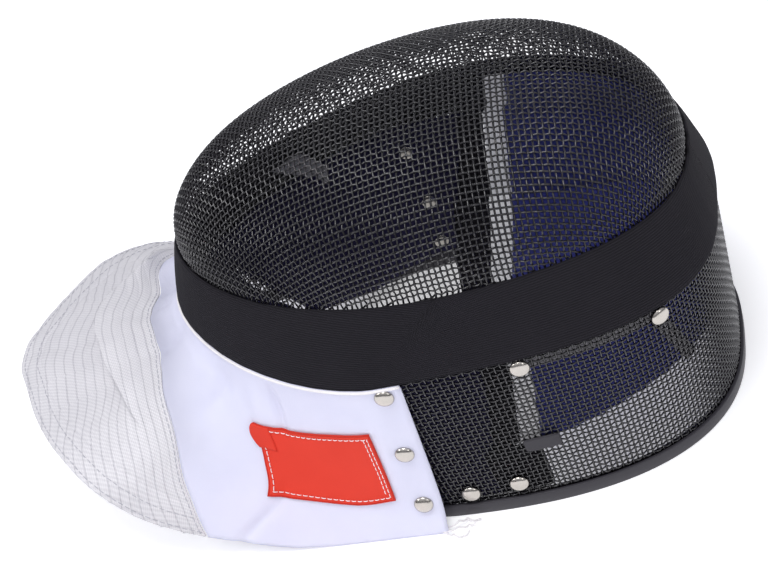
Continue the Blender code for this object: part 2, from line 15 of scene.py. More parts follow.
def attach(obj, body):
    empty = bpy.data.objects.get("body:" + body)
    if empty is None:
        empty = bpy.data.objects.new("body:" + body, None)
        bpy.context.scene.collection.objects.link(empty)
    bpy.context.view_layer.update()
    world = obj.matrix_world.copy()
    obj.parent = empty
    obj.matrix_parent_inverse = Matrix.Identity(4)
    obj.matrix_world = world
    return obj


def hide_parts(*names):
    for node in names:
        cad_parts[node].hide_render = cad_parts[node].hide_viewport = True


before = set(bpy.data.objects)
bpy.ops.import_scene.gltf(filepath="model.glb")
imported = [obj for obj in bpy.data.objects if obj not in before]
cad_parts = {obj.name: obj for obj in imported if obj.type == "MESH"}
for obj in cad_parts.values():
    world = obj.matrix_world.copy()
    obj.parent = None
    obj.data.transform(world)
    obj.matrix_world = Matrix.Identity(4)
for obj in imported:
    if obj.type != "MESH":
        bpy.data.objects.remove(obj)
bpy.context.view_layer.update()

# %% [markdown]
# The camera looks down on the mask from its left side, a little from above. The mask lies turned in
# the picture, so the camera is rolled about its own axis. It could also be aimed by a constraint,
# but a matrix written out once keeps the roll exact.

# %% Camera
IMAGE_WIDTH = 768
IMAGE_HEIGHT = 566
FOCAL_PIXELS = 2190.11
SENSOR_MM = 36.0
CENTRE_X = 368.48
CENTRE_Y = 280.40
AZIMUTH = math.radians(18.736)
ELEVATION = math.radians(40.622)
ROLL = math.radians(20.909)
CAMERA_DISTANCE = 1.150
TARGET = Vector((0.00975, 0.0, 0.080))

back = Vector((math.sin(AZIMUTH) * math.cos(ELEVATION), -math.cos(AZIMUTH) * math.cos(ELEVATION),
               math.sin(ELEVATION)))
level_right = Vector((math.cos(AZIMUTH), math.sin(AZIMUTH), 0.0))
level_up = back.cross(level_right)
camera_right = math.cos(ROLL) * level_right - math.sin(ROLL) * level_up
camera_up = math.sin(ROLL) * level_right + math.cos(ROLL) * level_up
camera = bpy.data.objects.new("camera", bpy.data.cameras.new("camera"))
bpy.context.scene.collection.objects.link(camera)
turn = Matrix((camera_right, camera_up, back)).transposed().to_4x4()
camera.matrix_world = Matrix.Translation(TARGET + back * CAMERA_DISTANCE) @ turn
camera.data.sensor_width = SENSOR_MM
camera.data.lens = FOCAL_PIXELS / IMAGE_WIDTH * SENSOR_MM
camera.data.shift_x = (IMAGE_WIDTH / 2 - CENTRE_X) / IMAGE_WIDTH
camera.data.shift_y = (CENTRE_Y - IMAGE_HEIGHT / 2) / IMAGE_WIDTH
camera.data.clip_end = 20.0
bpy.context.scene.camera = camera
print("lens", round(camera.data.lens, 2), "mm")

# %% [markdown]
# The form of the cage. The rim and the two edges of the band are egg-shaped ovals, each from its
# own few sizes, and everything else hangs between them. One function gives any point of the cage
# by an angle round it and a level: 0 at the rim, 1 and 2 at the band's edges and 3 at the apex.

# %% Sizes of the cage, in metres
RIM = {"chin_x": -0.0855, "widest_x": 0.0444, "head_x": 0.1947, "half": 0.0999, "chin": 1.70, "head": 2.55}
LOW = {"chin_x": -0.0928, "widest_x": 0.0256, "head_x": 0.1972, "half": 0.1023, "chin": 1.534, "head": 2.842}
TOP = {"chin_x": -0.0803, "widest_x": 0.0656, "head_x": 0.1894, "half": 0.0883, "chin": 1.807, "head": 2.235}
LOW_RISE = {"height": 0.1031, "tilt": 0.0070, "hollow": 0.0058, "twist": 0.0029}
TOP_RISE = {"height": 0.1410, "tilt": 0.0129, "hollow": 0.0062, "twist": 0.0109}
BAND_MIDDLE_X = 0.0548
BAND_HALF_LENGTH = 0.1450
RIM_CHIN_LIFT = 0.0420
RIM_LIFT_START_X = -0.0030
APEX = np.array([0.0722, 0.0, 0.2016])
CAP_CHIN_POWER = 0.837
CAP_HEAD_POWER = 0.782
CAP_RISE_POWER = 0.986
BAND_THICKNESS = 0.0013
MESH_DEPTH = 0.0026
LINING_DEPTH = 0.0041
print("rim", RIM["half"] * 2000.0, "mm wide, apex", APEX[2] * 1000.0, "mm high")

# %% [markdown]
# The ovals are superellipses: two powers, one for the chin's half and one for the head's, set how
# square each end is. They could be drawn as splines, but a formula gives a point and a normal at
# any angle, so the wires, the band and the cloth can all be laid on the same surface.


# %% Surface of the cage
def power(value, exponent):
    """Signed power, for superellipses."""
    return np.sign(value) * np.abs(value) ** exponent


def smooth(share):
    """Smooth step from 0 to 1."""
    share = np.clip(share, 0.0, 1.0)
    return share * share * (3.0 - 2.0 * share)


def oval(angle, sizes):
    """Plan of one oval: angle 0 at the top of the head, pi at the chin."""
    across = np.cos(angle)
    headward = across > 0.0
    exponent = 2.0 / np.where(headward, sizes["head"], sizes["chin"])
    reach = np.where(headward, sizes["head_x"] - sizes["widest_x"], sizes["widest_x"] - sizes["chin_x"])
    return sizes["widest_x"] + reach * power(across, exponent), sizes["half"] * power(np.sin(angle), exponent)


def rim_ring(angle):
    """Foot of the cage, flat on the floor and lifted at the chin."""
    x, y = oval(angle, RIM)
    lifted = smooth((RIM_LIFT_START_X - x) / (RIM_LIFT_START_X - RIM["chin_x"]))
    return np.stack([x, y, RIM_CHIN_LIFT * lifted], axis=-1)


def band_ring(angle, sizes, rise):
    """One edge of the band."""
    x, y = oval(angle, sizes)
    along = (x - BAND_MIDDLE_X) / BAND_HALF_LENGTH
    z = rise["height"] + rise["tilt"] * along - rise["hollow"] * along ** 2 - rise["twist"] * along ** 3
    return np.stack([x, y, z], axis=-1)


def cap_power(top):
    """How full the dome's plan is, at each side of the apex."""
    headward = smooth(0.5 + (top[..., 0] - APEX[0]) / 0.08)
    return CAP_CHIN_POWER + (CAP_HEAD_POWER - CAP_CHIN_POWER) * headward


def cage(angle, level):
    """Outside of the cage at an angle and a level."""
    angle, level = np.broadcast_arrays(angle, level)
    foot, low, top = rim_ring(angle), band_ring(angle, LOW, LOW_RISE), band_ring(angle, TOP, TOP_RISE)
    below = np.clip(level, 0.0, 1.0)[..., None]
    above = np.clip(level - 1.0, 0.0, 1.0)[..., None]
    points = foot + (low - foot) * below + (top - low) * above
    radius = np.clip(3.0 - level, 0.0, 1.0)
    climb = np.sin(np.arccos(radius ** (1.0 / cap_power(top)))) ** CAP_RISE_POWER
    dome = APEX + (top - APEX) * radius[..., None]
    dome[..., 2] = top[..., 2] + (APEX[2] - top[..., 2]) * climb
    return np.where(level[..., None] > 2.0, dome, points)


# %% Normals and lengths on a surface
def unit(vectors):
    """Vectors of length one."""
    return vectors / np.maximum(np.linalg.norm(vectors, axis=-1, keepdims=True), 1.0e-30)


def facing(surface, first, second, step=2.0e-4):
    """Outward normal of a surface."""
    one = surface(first + step, second) - surface(first - step, second)
    two = surface(first, second + step) - surface(first, second - step)
    return unit(np.cross(one, two))


def inset(surface, first, second, depth):
    """Points of a surface, moved inward by a depth."""
    first, second = np.broadcast_arrays(first, second)
    return surface(first, second) - facing(surface, first, second) * np.asarray(depth)[..., None]


def girth_angle(share):
    """Angle at a share of the wall's girth, half way up."""
    dense = np.linspace(0.0, 2.0 * math.pi, 2881)
    points = cage(dense, 0.5)
    lengths = np.concatenate([[0.0], np.cumsum(np.linalg.norm(np.diff(points, axis=0), axis=1))])
    return np.interp(np.asarray(share) * lengths[-1], lengths, dense)


def wall_height(angle):
    """Length of the wall from the rim's foot up to the band."""
    return np.linalg.norm(band_ring(angle, LOW, LOW_RISE) - rim_ring(angle), axis=-1)


def angle_at(x, level):
    """Angle, on the far half, where the wall stands at a given x."""
    dense = np.linspace(math.pi, 0.0, 1441)
    return float(np.interp(x, cage(dense, level)[:, 0], dense))


around = cage(np.linspace(0.0, 2.0 * math.pi, 721), 0.5)
GIRTH = float(np.linalg.norm(np.diff(around, axis=0), axis=1).sum())
print("girth of the wall", round(GIRTH * 1000), "mm")

# %% [markdown]
# Every finish is a Principled shader with a pattern from nodes. One helper adds a node with its
# settings and links. Sheets carry a UV map measured in metres, so a weave can be given its real
# thread spacing in millimetres and doesn't stretch where the cloth is pulled.


# %% Helpers for finishes
def linear(code):
    """Linear colour of an sRGB hex value."""
    parts = [int(code[i:i + 2], 16) / 255.0 for i in (1, 3, 5)]
    return [p / 12.92 if p <= 0.04045 else ((p + 0.055) / 1.055) ** 2.4 for p in parts] + [1.0]


def add_node(tree, kind, settings=None, values=None, links=None):
    """Adds a node with its settings, socket values and links."""
    made = tree.nodes.new("ShaderNode" + kind)
    for key, value in (settings or {}).items():
        setattr(made, key, value)
    for key, value in (values or {}).items():
        made.inputs[key].default_value = value
    for key, source in (links or {}).items():
        tree.links.new(source, made.inputs[key])
    return made


def wave(tree, source, pitch_mm, half=False):
    """Sine of a length over a pitch, or over twice the pitch."""
    turns = (math.pi if half else 2.0 * math.pi) / (pitch_mm / 1000.0)
    scaled = add_node(tree, "Math", {"operation": "MULTIPLY"}, {1: turns}, {0: source})
    return add_node(tree, "Math", {"operation": "SINE"}, None, {0: scaled.outputs[0]}).outputs[0]


def combine(tree, operation, first, second):
    """Two values through one operation; a plain number may stand for the second."""
    if isinstance(second, (int, float)):
        return add_node(tree, "Math", {"operation": operation}, {1: second}, {0: first}).outputs[0]
    return add_node(tree, "Math", {"operation": operation}, None, {0: first, 1: second}).outputs[0]


# %% Weaves
def plain_weave(tree, uv, warp_mm, weft_mm):
    """Threads over and under one by one."""
    both = combine(tree, "MULTIPLY", wave(tree, uv["u"], warp_mm, True), wave(tree, uv["v"], weft_mm, True))
    return combine(tree, "MULTIPLY_ADD", both, 0.5)


def twill_weave(tree, uv, warp_mm, weft_mm):
    """Diagonal lines of a twill, with the threads across them."""
    slant = combine(tree, "ADD", uv["u"], uv["v"])
    lines = wave(tree, slant, warp_mm)
    return combine(tree, "ADD", lines, combine(tree, "MULTIPLY", wave(tree, uv["v"], weft_mm), 0.4))


def rib_weave(tree, uv, warp_mm, weft_mm):
    """Ribs along the cloth, with finer threads across them."""
    ribs = wave(tree, uv["v"], weft_mm)
    return combine(tree, "ADD", ribs, combine(tree, "MULTIPLY", wave(tree, uv["u"], warp_mm), 0.5))


# %% One finish
# The darkening of the sewn channels' grooves is painted shade.
GROOVE_SHARE = 0.35      # how much of a sewn channel's half its groove takes
GROOVE_SHADE = 0.28      # how much darker the groove is


def finish(name, light, dark, roughness, metallic=0.0, weave=None, threads=(1.0, 1.0), relief_mm=0.1,
           shade=0.5, blotch_mm=25.0, sheen=0.0, coat=0.0, grain_mm=0.0, gloss=0.5,
           grooves_mm=0.0):
    """Material with a weave or a fine grain, and slow changes of colour over it."""
    made = bpy.data.materials.new(name)
    made.use_nodes = True
    tree = made.node_tree
    shader = tree.nodes["Principled BSDF"]
    place = add_node(tree, "TexCoord")
    blotch = add_node(tree, "TexNoise", None, {"Scale": 1000.0 / blotch_mm, "Detail": 3.0},
                      {"Vector": place.outputs["Object"]})
    factor = combine(tree, "MULTIPLY", blotch.outputs[0], 1.0 - shade)
    height = None
    if weave is not None:
        split = add_node(tree, "SeparateXYZ", None, None, {0: place.outputs["UV"]})
        height = weave(tree, {"u": split.outputs[0], "v": split.outputs[1]}, *threads)
        # Painted shade: the valleys between the threads are darkened.
        valley = combine(tree, "MULTIPLY_ADD", height, -0.5)
        valley.node.inputs[2].default_value = 0.5
        factor = combine(tree, "ADD", factor, combine(tree, "MULTIPLY", valley, shade))
        # Painted shade: the groove of each sewn channel is darkened as well as sunk.
        if grooves_mm > 0.0:
            lobe = add_node(tree, "Math", {"operation": "ABSOLUTE"}, None,
                            {0: wave(tree, split.outputs[1], grooves_mm, True)})
            groove = add_node(tree, "MapRange", {"interpolation_type": "SMOOTHSTEP"},
                              {"From Min": 0.0, "From Max": GROOVE_SHARE, "To Min": 1.0, "To Max": 0.0},
                              {"Value": lobe.outputs[0]})
            shaded = combine(tree, "MULTIPLY", groove.outputs[0], GROOVE_SHADE)
            factor = combine(tree, "ADD", factor, shaded)
            height = combine(tree, "SUBTRACT", height, groove.outputs[0])
    elif grain_mm > 0.0:
        grain = add_node(tree, "TexNoise", None, {"Scale": 1000.0 / grain_mm, "Detail": 4.0},
                         {"Vector": place.outputs["Object"]})
        height = grain.outputs[0]
    mix = add_node(tree, "Mix", {"data_type": "RGBA"}, {6: linear(light), 7: linear(dark)}, {0: factor})
    tree.links.new(mix.outputs[2], shader.inputs["Base Color"])
    if height is not None:
        bump = add_node(tree, "Bump", None, {"Strength": 1.0, "Distance": relief_mm / 1000.0},
                        {"Height": height})
        tree.links.new(bump.outputs[0], shader.inputs["Normal"])
    shader.inputs["Roughness"].default_value = roughness
    shader.inputs["Metallic"].default_value = metallic
    shader.inputs["Sheen Weight"].default_value = sheen
    shader.inputs["Coat Weight"].default_value = coat
    shader.inputs["Specular IOR Level"].default_value = gloss
    return made


# %% [markdown]
# The finishes of the real mask: dipped wire, moulded plastic, plated rivets and woven cloth. Each
# could be a photograph on a UV map, but a pattern from nodes stays sharp from close by. Thread
# spacings are in millimetres. The real threads are about 0.4 mm apart, too fine to show, so every
# weave here is drawn two to three times as coarse.

# %% Finishes of wire, plastic and metal
# Steel wire dipped in black polymer: smooth, a little glossy, a small grey light on each crimp.
wire_coat = finish("wire_coat", "#19171C", "#0F0E12", 0.25, blotch_mm=8.0, coat=0.35)
# Moulded soft PVC: dark grey with a broad, dull shine.
rim_pvc = finish("rim_pvc", "#38363C", "#2F2D33", 0.45, grain_mm=0.8, relief_mm=0.02, blotch_mm=40.0,
                 gloss=0.35)
# Moulded polyamide of the small tabs: a shade darker than the rim, as dull.
tab_nylon = finish("tab_nylon", "#343238", "#2B292F", 0.45, grain_mm=0.8, relief_mm=0.02, gloss=0.3)
# Nickel plate, rolled and polished: a warm silver mirror with slight waves.
nickel_plate = finish("nickel_plate", "#C2BDB6", "#A7A29A", 0.22, metallic=1.0, grain_mm=1.5,
                      relief_mm=0.01, blotch_mm=3.0)

# %% Finishes of cloth
# Ribbed polyamide webbing: nearly black, fine ribs, no shine.
band_webbing = finish("band_webbing", "#2C2A30", "#18171B", 0.85, weave=rib_weave, threads=(0.9, 1.3),
                      relief_mm=0.16, shade=0.75, gloss=0.12)
# Bleached cotton twill: white with a cold tint from the bleach, soft diagonal lines.
white_twill = finish("white_twill", "#ECECFC", "#DDDEF5", 0.9, weave=twill_weave, threads=(0.9, 0.6),
                     relief_mm=0.05, shade=0.35, gloss=0.2)
# Plain weave of cotton and steel thread, sewn in channels: dull silver, with painted shade in its grooves.
steel_thread_cloth = finish("steel_thread_cloth", "#E9E7EA", "#A4A3AB", 0.5, metallic=0.12,
                            weave=plain_weave, threads=(1.0, 1.0), relief_mm=0.16, shade=0.7, gloss=0.3,
                            grooves_mm=5.6)
# Dyed cotton twill: even red orange, matt; its turned edge is in shade and darker.
red_edge = finish("red_edge", "#CC3426", "#A9261C", 0.85, blotch_mm=6.0, gloss=0.2)
red_twill = finish("red_twill", "#F04A38", "#DB3A2C", 0.85, weave=twill_weave, threads=(0.9, 0.7),
                   relief_mm=0.06, shade=0.4, gloss=0.2)
# Spun polyester sewing thread: slightly glossy, so single stitches catch the light.
white_thread = finish("white_thread", "#F6F3F4", "#DEDADF", 0.7, blotch_mm=3.0)
grey_thread = finish("grey_thread", "#B9B9C1", "#9C9CA6", 0.6, blotch_mm=3.0)
# Brushed polyamide tricot over foam: deep blue with a faint bloom at grazing angles.
navy_tricot = finish("navy_tricot", "#3C4190", "#2B2F70", 0.9, weave=plain_weave, threads=(1.1, 1.1),
                     relief_mm=0.12, shade=0.6, sheen=0.2, gloss=0.2)
# The same tricot, dyed nearly black: the liner is only a dark ground behind the mesh.
dark_tricot = finish("dark_tricot", "#2A2746", "#191730", 0.92, weave=plain_weave, threads=(1.1, 1.1),
                     relief_mm=0.10, shade=0.6, gloss=0.15)
# Flat cotton webbing, off white. It is seen through the mesh in deep shade, where the real one
# still looks bright, so it gives off a little light of its own.
strap_webbing = finish("strap_webbing", "#FAFAFA", "#D5D4D8", 0.8, weave=rib_weave, threads=(1.4, 1.6),
                       relief_mm=0.12, shade=0.5)
strap_shader = strap_webbing.node_tree.nodes["Principled BSDF"].inputs
strap_shader["Emission Color"].default_value = linear("#F4F4FA")
strap_shader["Emission Strength"].default_value = 0.16
# Webbing of the small bindings, painted grey as painted shade for the mask's shade it lies in.
shade_grey_webbing = finish("shade_grey_webbing", "#B5B3B8", "#88868C", 0.8, weave=rib_weave, threads=(1.4, 1.6),
                      relief_mm=0.12, shade=0.6, gloss=0.2)
# Knitted elastic: black, with coarse cords along it.
black_elastic = finish("black_elastic", "#242228", "#121115", 0.85, weave=rib_weave, threads=(1.6, 1.1),
                       relief_mm=0.16, shade=0.7, gloss=0.15)
print("finishes", len(bpy.data.materials))

# %% [markdown]
# Two helpers make nearly every piece. One turns paths into tubes, for wire and thread. The other
# turns a grid of points into a sheet with two faces and closed edges. A modifier could thicken the
# sheet, but doing it here also gives it its UV map in metres.


# %% Helpers for shapes
def link(name, mesh, material, nodes=()):
    """Adds a finished mesh as a piece that rides on the mask."""
    mesh.materials.append(material)
    piece = bpy.data.objects.new(name, mesh)
    bpy.context.scene.collection.objects.link(piece)
    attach(piece, "root")
    if nodes:
        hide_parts(*nodes)
    return piece


# %% Tubes
def tubes(name, paths, radius, sides, material, nodes=()):
    """Piece made of many tubes. A path is its points, the normals at them, and if it is closed."""
    corners = np.arange(sides) * 2.0 * math.pi / sides
    points, faces, start = [], [], 0
    for path, normals, closed in paths:
        if closed:
            tangent = np.roll(path, -1, axis=0) - np.roll(path, 1, axis=0)
        else:
            tangent = np.gradient(path, axis=0)
        side = unit(np.cross(tangent, normals))
        out = unit(np.cross(side, tangent))
        rings = path[:, None] + radius * (np.cos(corners)[None, :, None] * out[:, None]
                                          + np.sin(corners)[None, :, None] * side[:, None])
        count = len(path)
        points.append(rings.reshape(-1, 3))
        first = np.arange(count if closed else count - 1)
        after = (first + 1) % count
        step = np.arange(sides)
        following = (step + 1) % sides
        quads = np.stack([
            first[:, None] * sides + step, after[:, None] * sides + step,
            after[:, None] * sides + following, first[:, None] * sides + following], axis=-1)
        faces += (quads.reshape(-1, 4) + start).tolist()
        if not closed:
            faces.append((start + step).tolist())
            faces.append((start + (count - 1) * sides + step[::-1]).tolist())
        start += count * sides
    mesh = bpy.data.meshes.new(name)
    mesh.from_pydata(np.concatenate(points).tolist(), [], faces)
    mesh.shade_smooth()
    return link(name, mesh, material, nodes)


# %% Sheets
def grid_normals(points, closed=False):
    """Normals of a grid of points."""
    if closed:
        one = np.roll(points, -1, axis=0) - np.roll(points, 1, axis=0)
    else:
        one = np.gradient(points, axis=0)
    return unit(np.cross(one, np.gradient(points, axis=1)))


def sheet_mesh(name, outer, thickness, closed=False):
    """Two faces a thickness apart, with their edges closed, and a UV map in metres."""
    inner = outer - grid_normals(outer, closed) * np.broadcast_to(thickness, outer.shape[:2])[..., None]
    rows, columns = outer.shape[:2]
    size = rows * columns
    steps = np.arange(rows if closed else rows - 1)
    k = (steps + 1) % rows
    j = np.arange(columns - 1)
    a, b = steps[:, None] * columns, k[:, None] * columns
    top = np.stack([a + j, b + j, b + j + 1, a + j + 1], axis=-1).reshape(-1, 4)
    faces = [top, top[:, ::-1] + size]
    for column, flip in ((0, False), (columns - 1, True)):
        edge = np.stack([steps * columns + column, steps * columns + column + size,
                         k * columns + column + size, k * columns + column], axis=-1)
        faces.append(edge[:, ::-1] if flip else edge)
    if not closed:
        for row, flip in ((0, True), (rows - 1, False)):
            r = row * columns
            edge = np.stack([r + j, r + j + size, r + j + 1 + size, r + j + 1], axis=-1)
            faces.append(edge[:, ::-1] if flip else edge)
    faces = np.concatenate(faces)
    mesh = bpy.data.meshes.new(name)
    mesh.from_pydata(np.concatenate([outer.reshape(-1, 3), inner.reshape(-1, 3)]).tolist(), [], faces.tolist())
    along = np.zeros((rows + 1, columns))
    along[1:rows] = np.cumsum(np.linalg.norm(np.diff(outer, axis=0), axis=2), axis=0)
    along[rows] = along[rows - 1] + np.linalg.norm(outer[0] - outer[-1], axis=1)
    across = np.zeros((rows, columns))
    across[:, 1:] = np.cumsum(np.linalg.norm(np.diff(outer, axis=1), axis=2), axis=1)
    place = np.tile(np.stack([along[:rows], across], axis=-1).reshape(-1, 2), (2, 1))
    uv = mesh.uv_layers.new(name="metres")
    corner = place[faces]
    if closed:
        far = (faces % size) // columns
        wrapped = (far == 0) & (np.max(far, axis=1, keepdims=True) == rows - 1)
        corner[..., 0] = np.where(wrapped, along[rows, 0], corner[..., 0])
    uv.data.foreach_set("uv", corner.reshape(-1))
    mesh.shade_smooth()
    return mesh


# %% Tables and curves
def table(names, *rows):
    """Rows of values under one line of names."""
    return [dict(zip(names.split(), row)) for row in rows]


def curve(rows, across, name, share):
    """Smooth curve of one column of a table over another, at a share."""
    x, y = (np.array([row[key] for row in rows]) for key in (across, name))
    slope = np.gradient(y, x)
    share = np.clip(share, x[0], x[-1])
    row = np.clip(np.searchsorted(x, share) - 1, 0, len(x) - 2)
    width = x[row + 1] - x[row]
    t = (share - x[row]) / width
    out = t * (1.0 - t) ** 2 * slope[row] - t * t * (1.0 - t) * slope[row + 1]
    return y[row] + (y[row + 1] - y[row]) * t * t * (3.0 - 2.0 * t) + out * width


# %% [markdown]
# Front mesh. The real one is a flat square weave of steel wire, pressed over a form. The wires keep
# their length and only turn where they cross, as the knots of a fishing net do. So the net is laid
# here knot by knot: two middle wires first, and then each next knot at one pitch from its two
# neighbours. A texture could fake it, but from close by the wires have to cross over and under.

# %% Knots of the front mesh
WARP_PITCH = 0.0032
WEFT_PITCH = 0.00287
NET_TURN = math.radians(4.5)
WIRE_RADIUS = 0.00055
CRIMP = 0.00042
SKIRT_REACH = 1.17
WIRE_SIDES = 4           # the wires are so thin that four sides look round


def press(place):
    """Point of the dome at a place of the unit disc; beyond radius 1 it is behind the band."""
    radius = np.hypot(place[..., 0], place[..., 1])
    angle = np.arctan2(place[..., 1], place[..., 0])
    rounded = np.sin(np.clip(radius, 0.0, 1.0) * math.pi / 2.0) ** cap_power(band_ring(angle, TOP, TOP_RISE))
    return cage(angle, np.where(radius < 1.0, 3.0 - rounded, 3.0 - radius))


def middle_wire(direction, pitch, count):
    """Places along the middle wire that leaves the apex in one direction."""
    angles = np.linspace(-math.pi, math.pi, 1441)
    top = band_ring(angles, TOP, TOP_RISE) - APEX
    toward = np.unwrap(np.arctan2(top[:, 1], top[:, 0]))
    angle = np.interp(math.remainder(direction, 2.0 * math.pi), toward, angles)
    radius = np.linspace(0.0, 1.6, 1601)
    places = np.stack([radius * math.cos(angle), radius * math.sin(angle)], axis=1)
    steps = np.linalg.norm(np.diff(press(places), axis=0), axis=1)
    lengths = np.concatenate([[0.0], np.cumsum(steps)])
    reached = np.interp(np.arange(count) * pitch, lengths, radius)
    return np.stack([reached * math.cos(angle), reached * math.sin(angle)], axis=1)


# %% Laying the net out
def next_knots(left, below, corner):
    """Places one pitch from the knots beside and below them."""
    place = left + below - corner
    target_left, target_below = press(left), press(below)
    step = 1.0e-4
    for _ in range(9):
        point = press(place)
        to_left, to_below = point - target_left, point - target_below
        miss = np.stack([(to_left ** 2).sum(-1) - WEFT_PITCH ** 2,
                         (to_below ** 2).sum(-1) - WARP_PITCH ** 2], -1)
        slopes = [(press(place + np.array(move)) - point) / step for move in ((step, 0.0), (0.0, step))]
        j = np.stack([np.stack([2.0 * (to_left * s).sum(-1), 2.0 * (to_below * s).sum(-1)], -1)
                      for s in slopes], -1)
        normal_form = np.swapaxes(j, -1, -2) @ j + 1.0e-12 * np.eye(2)
        move = -np.linalg.solve(normal_form, np.swapaxes(j, -1, -2) @ miss[..., None])[..., 0]
        place = place + np.clip(move, -0.02, 0.02)
    return place


WEFT_COUNT, WARP_COUNT = 66, 48
net = np.full((2 * WEFT_COUNT + 1, 2 * WARP_COUNT + 1, 2), np.nan)
for x_sign in (1, -1):
    for y_sign in (1, -1):
        quarter = np.full((WEFT_COUNT + 1, WARP_COUNT + 1, 2), np.nan)
        x_way = NET_TURN if x_sign > 0 else NET_TURN + math.pi
        y_way = NET_TURN + y_sign * math.pi / 2.0
        quarter[:, 0] = middle_wire(x_way, WEFT_PITCH, WEFT_COUNT + 1)
        quarter[0, :] = middle_wire(y_way, WARP_PITCH, WARP_COUNT + 1)
        for total in range(2, WEFT_COUNT + WARP_COUNT):
            i = np.arange(max(1, total - WARP_COUNT), min(WEFT_COUNT, total - 1) + 1)
            j = total - i
            near = (np.hypot(*quarter[i - 1, j].T) < 1.4) & (np.hypot(*quarter[i, j - 1].T) < 1.4)
            i, j = i[near], j[near]
            if len(i):
                quarter[i, j] = next_knots(quarter[i - 1, j], quarter[i, j - 1], quarter[i - 1, j - 1])
        rows = WEFT_COUNT + x_sign * np.arange(WEFT_COUNT + 1)
        columns = WARP_COUNT + y_sign * np.arange(WARP_COUNT + 1)
        net[np.ix_(rows, columns)] = quarter
net_reach = np.hypot(net[..., 0], net[..., 1])
net_on = np.nan_to_num(net_reach, nan=9.0) < SKIRT_REACH
print("knots on the dome", int(net_on.sum()))

# %% [markdown]
# Each wire is crimped: it goes over one wire and under the next. Two rings of the tube sit on each
# crossing, high or low by turns, which gives the flat-topped crimp of real wire with few faces.


# %% Front mesh wires
def crimped(points, normals, phase, closed=False):
    """Path of a crimped wire through its crossings."""
    if closed:
        tangent = (np.roll(points, -1, axis=0) - np.roll(points, 1, axis=0)) / 2.0
    else:
        tangent = np.gradient(points, axis=0)
    sign = np.where((np.arange(len(points)) + phase) % 2 == 0, 1.0, -1.0)
    lifted = points + normals * (sign * CRIMP)[:, None]
    path = np.stack([lifted - 0.2 * tangent, lifted + 0.2 * tangent], axis=1).reshape(-1, 3)
    return path, np.repeat(normals, 2, axis=0), closed


def runs(on):
    """Starts and ends of the stretches that are on."""
    edges = np.flatnonzero(np.diff(np.concatenate([[0], on.astype(int), [0]])))
    return [(a, b) for a, b in zip(edges[::2], edges[1::2]) if b - a > 2]


safe_net = np.where(net_on[..., None], net, 0.3)
flat = press(safe_net)
step_x, step_y = np.array([2.0e-4, 0.0]), np.array([0.0, 2.0e-4])
net_normals = unit(np.cross(press(safe_net + step_x) - press(safe_net - step_x),
                            press(safe_net + step_y) - press(safe_net - step_y)))
safe_reach = np.hypot(safe_net[..., 0], safe_net[..., 1])
rounded = np.sin(np.clip(safe_reach, 0.0, 1.0) * math.pi / 2.0) ** 0.81
net_level = 3.0 - np.where(safe_reach < 1.0, rounded, safe_reach)
net_depth = WIRE_RADIUS + (MESH_DEPTH - WIRE_RADIUS) * smooth((2.22 - net_level) / 0.22)
knots = flat - net_normals * net_depth[..., None]
warp_paths = [crimped(knots[a:b, j], net_normals[a:b, j], a + j)
              for j in range(knots.shape[1]) for a, b in runs(net_on[:, j])]
weft_paths = [crimped(knots[i, a:b], net_normals[i, a:b], a + i + 1)
              for i in range(knots.shape[0]) for a, b in runs(net_on[i])]
tubes("front_warp", warp_paths, WIRE_RADIUS, WIRE_SIDES, wire_coat, ["front_mesh"])
tubes("front_weft", weft_paths, WIRE_RADIUS, WIRE_SIDES, wire_coat, ["front_mesh"])
print("wires along", len(warp_paths), "wires across", len(weft_paths))

# %% [markdown]
# Side mesh. This is a straight strip of the same weave, bent round the head, so its wires run level
# and upright. The strip is trimmed to the rim, which rises at the chin, and its top is behind the
# band. The knots need no laying out here: they sit at even steps round the wall and down it.

# %% Side mesh wires
SIDE_PITCH = 0.0029
UPRIGHTS = 2 * round(GIRTH / SIDE_PITCH / 2.0)
HOOPS = 42
HOOPS_BEHIND_BAND = 3
SLOT_FLOOR = 0.0026
SIDE_WIRE_RADIUS = 0.00058

side_angles = girth_angle(np.arange(UPRIGHTS) / UPRIGHTS)
heights = wall_height(side_angles)
drops = (np.arange(HOOPS) - HOOPS_BEHIND_BAND) * SIDE_PITCH
angle_grid = np.repeat(side_angles[:, None], len(drops), axis=1)
band_length = np.linalg.norm(cage(side_angles, 2.0) - cage(side_angles, 1.0), axis=1)
level_grid = np.where(drops[None, :] > 0.0, 1.0 - drops[None, :] / heights[:, None],
                      1.0 - drops[None, :] / band_length[:, None])
side_on = drops[None, :] < heights[:, None] - SLOT_FLOOR
level_grid = np.where(side_on, level_grid, 0.5)
side_knots = inset(cage, angle_grid, level_grid, np.full(level_grid.shape, MESH_DEPTH))
side_normals = facing(cage, angle_grid, level_grid)
upright_paths = [crimped(side_knots[i, a:b], side_normals[i, a:b], i)
                 for i in range(UPRIGHTS) for a, b in runs(side_on[i])]
hoop_paths = []
for m in range(len(drops)):
    if side_on[:, m].all():
        hoop_paths.append(crimped(side_knots[:, m], side_normals[:, m], m + 1, True))
        continue
    start = UPRIGHTS // 2
    order = (np.arange(UPRIGHTS) + start) % UPRIGHTS
    for a, b in runs(side_on[order, m]):
        picked = order[a:b]
        hoop_paths.append(crimped(side_knots[picked, m], side_normals[picked, m], m + 1 + picked[0]))
tubes("side_uprights", upright_paths, SIDE_WIRE_RADIUS, WIRE_SIDES, wire_coat, ["side_mesh"])
tubes("side_hoops", hoop_paths, SIDE_WIRE_RADIUS, WIRE_SIDES, wire_coat, ["side_mesh"])
print("uprights", len(upright_paths), "hoops", len(hoop_paths))

# %% [markdown]
# Seam band. On the real mask, a strip of ribbed webbing is glued and sewn over the joint, because
# the cut wires there are sharp. It could be a simple loft; here it also swells a little between its
# two edges, as thick webbing does when its edges are pulled tight.

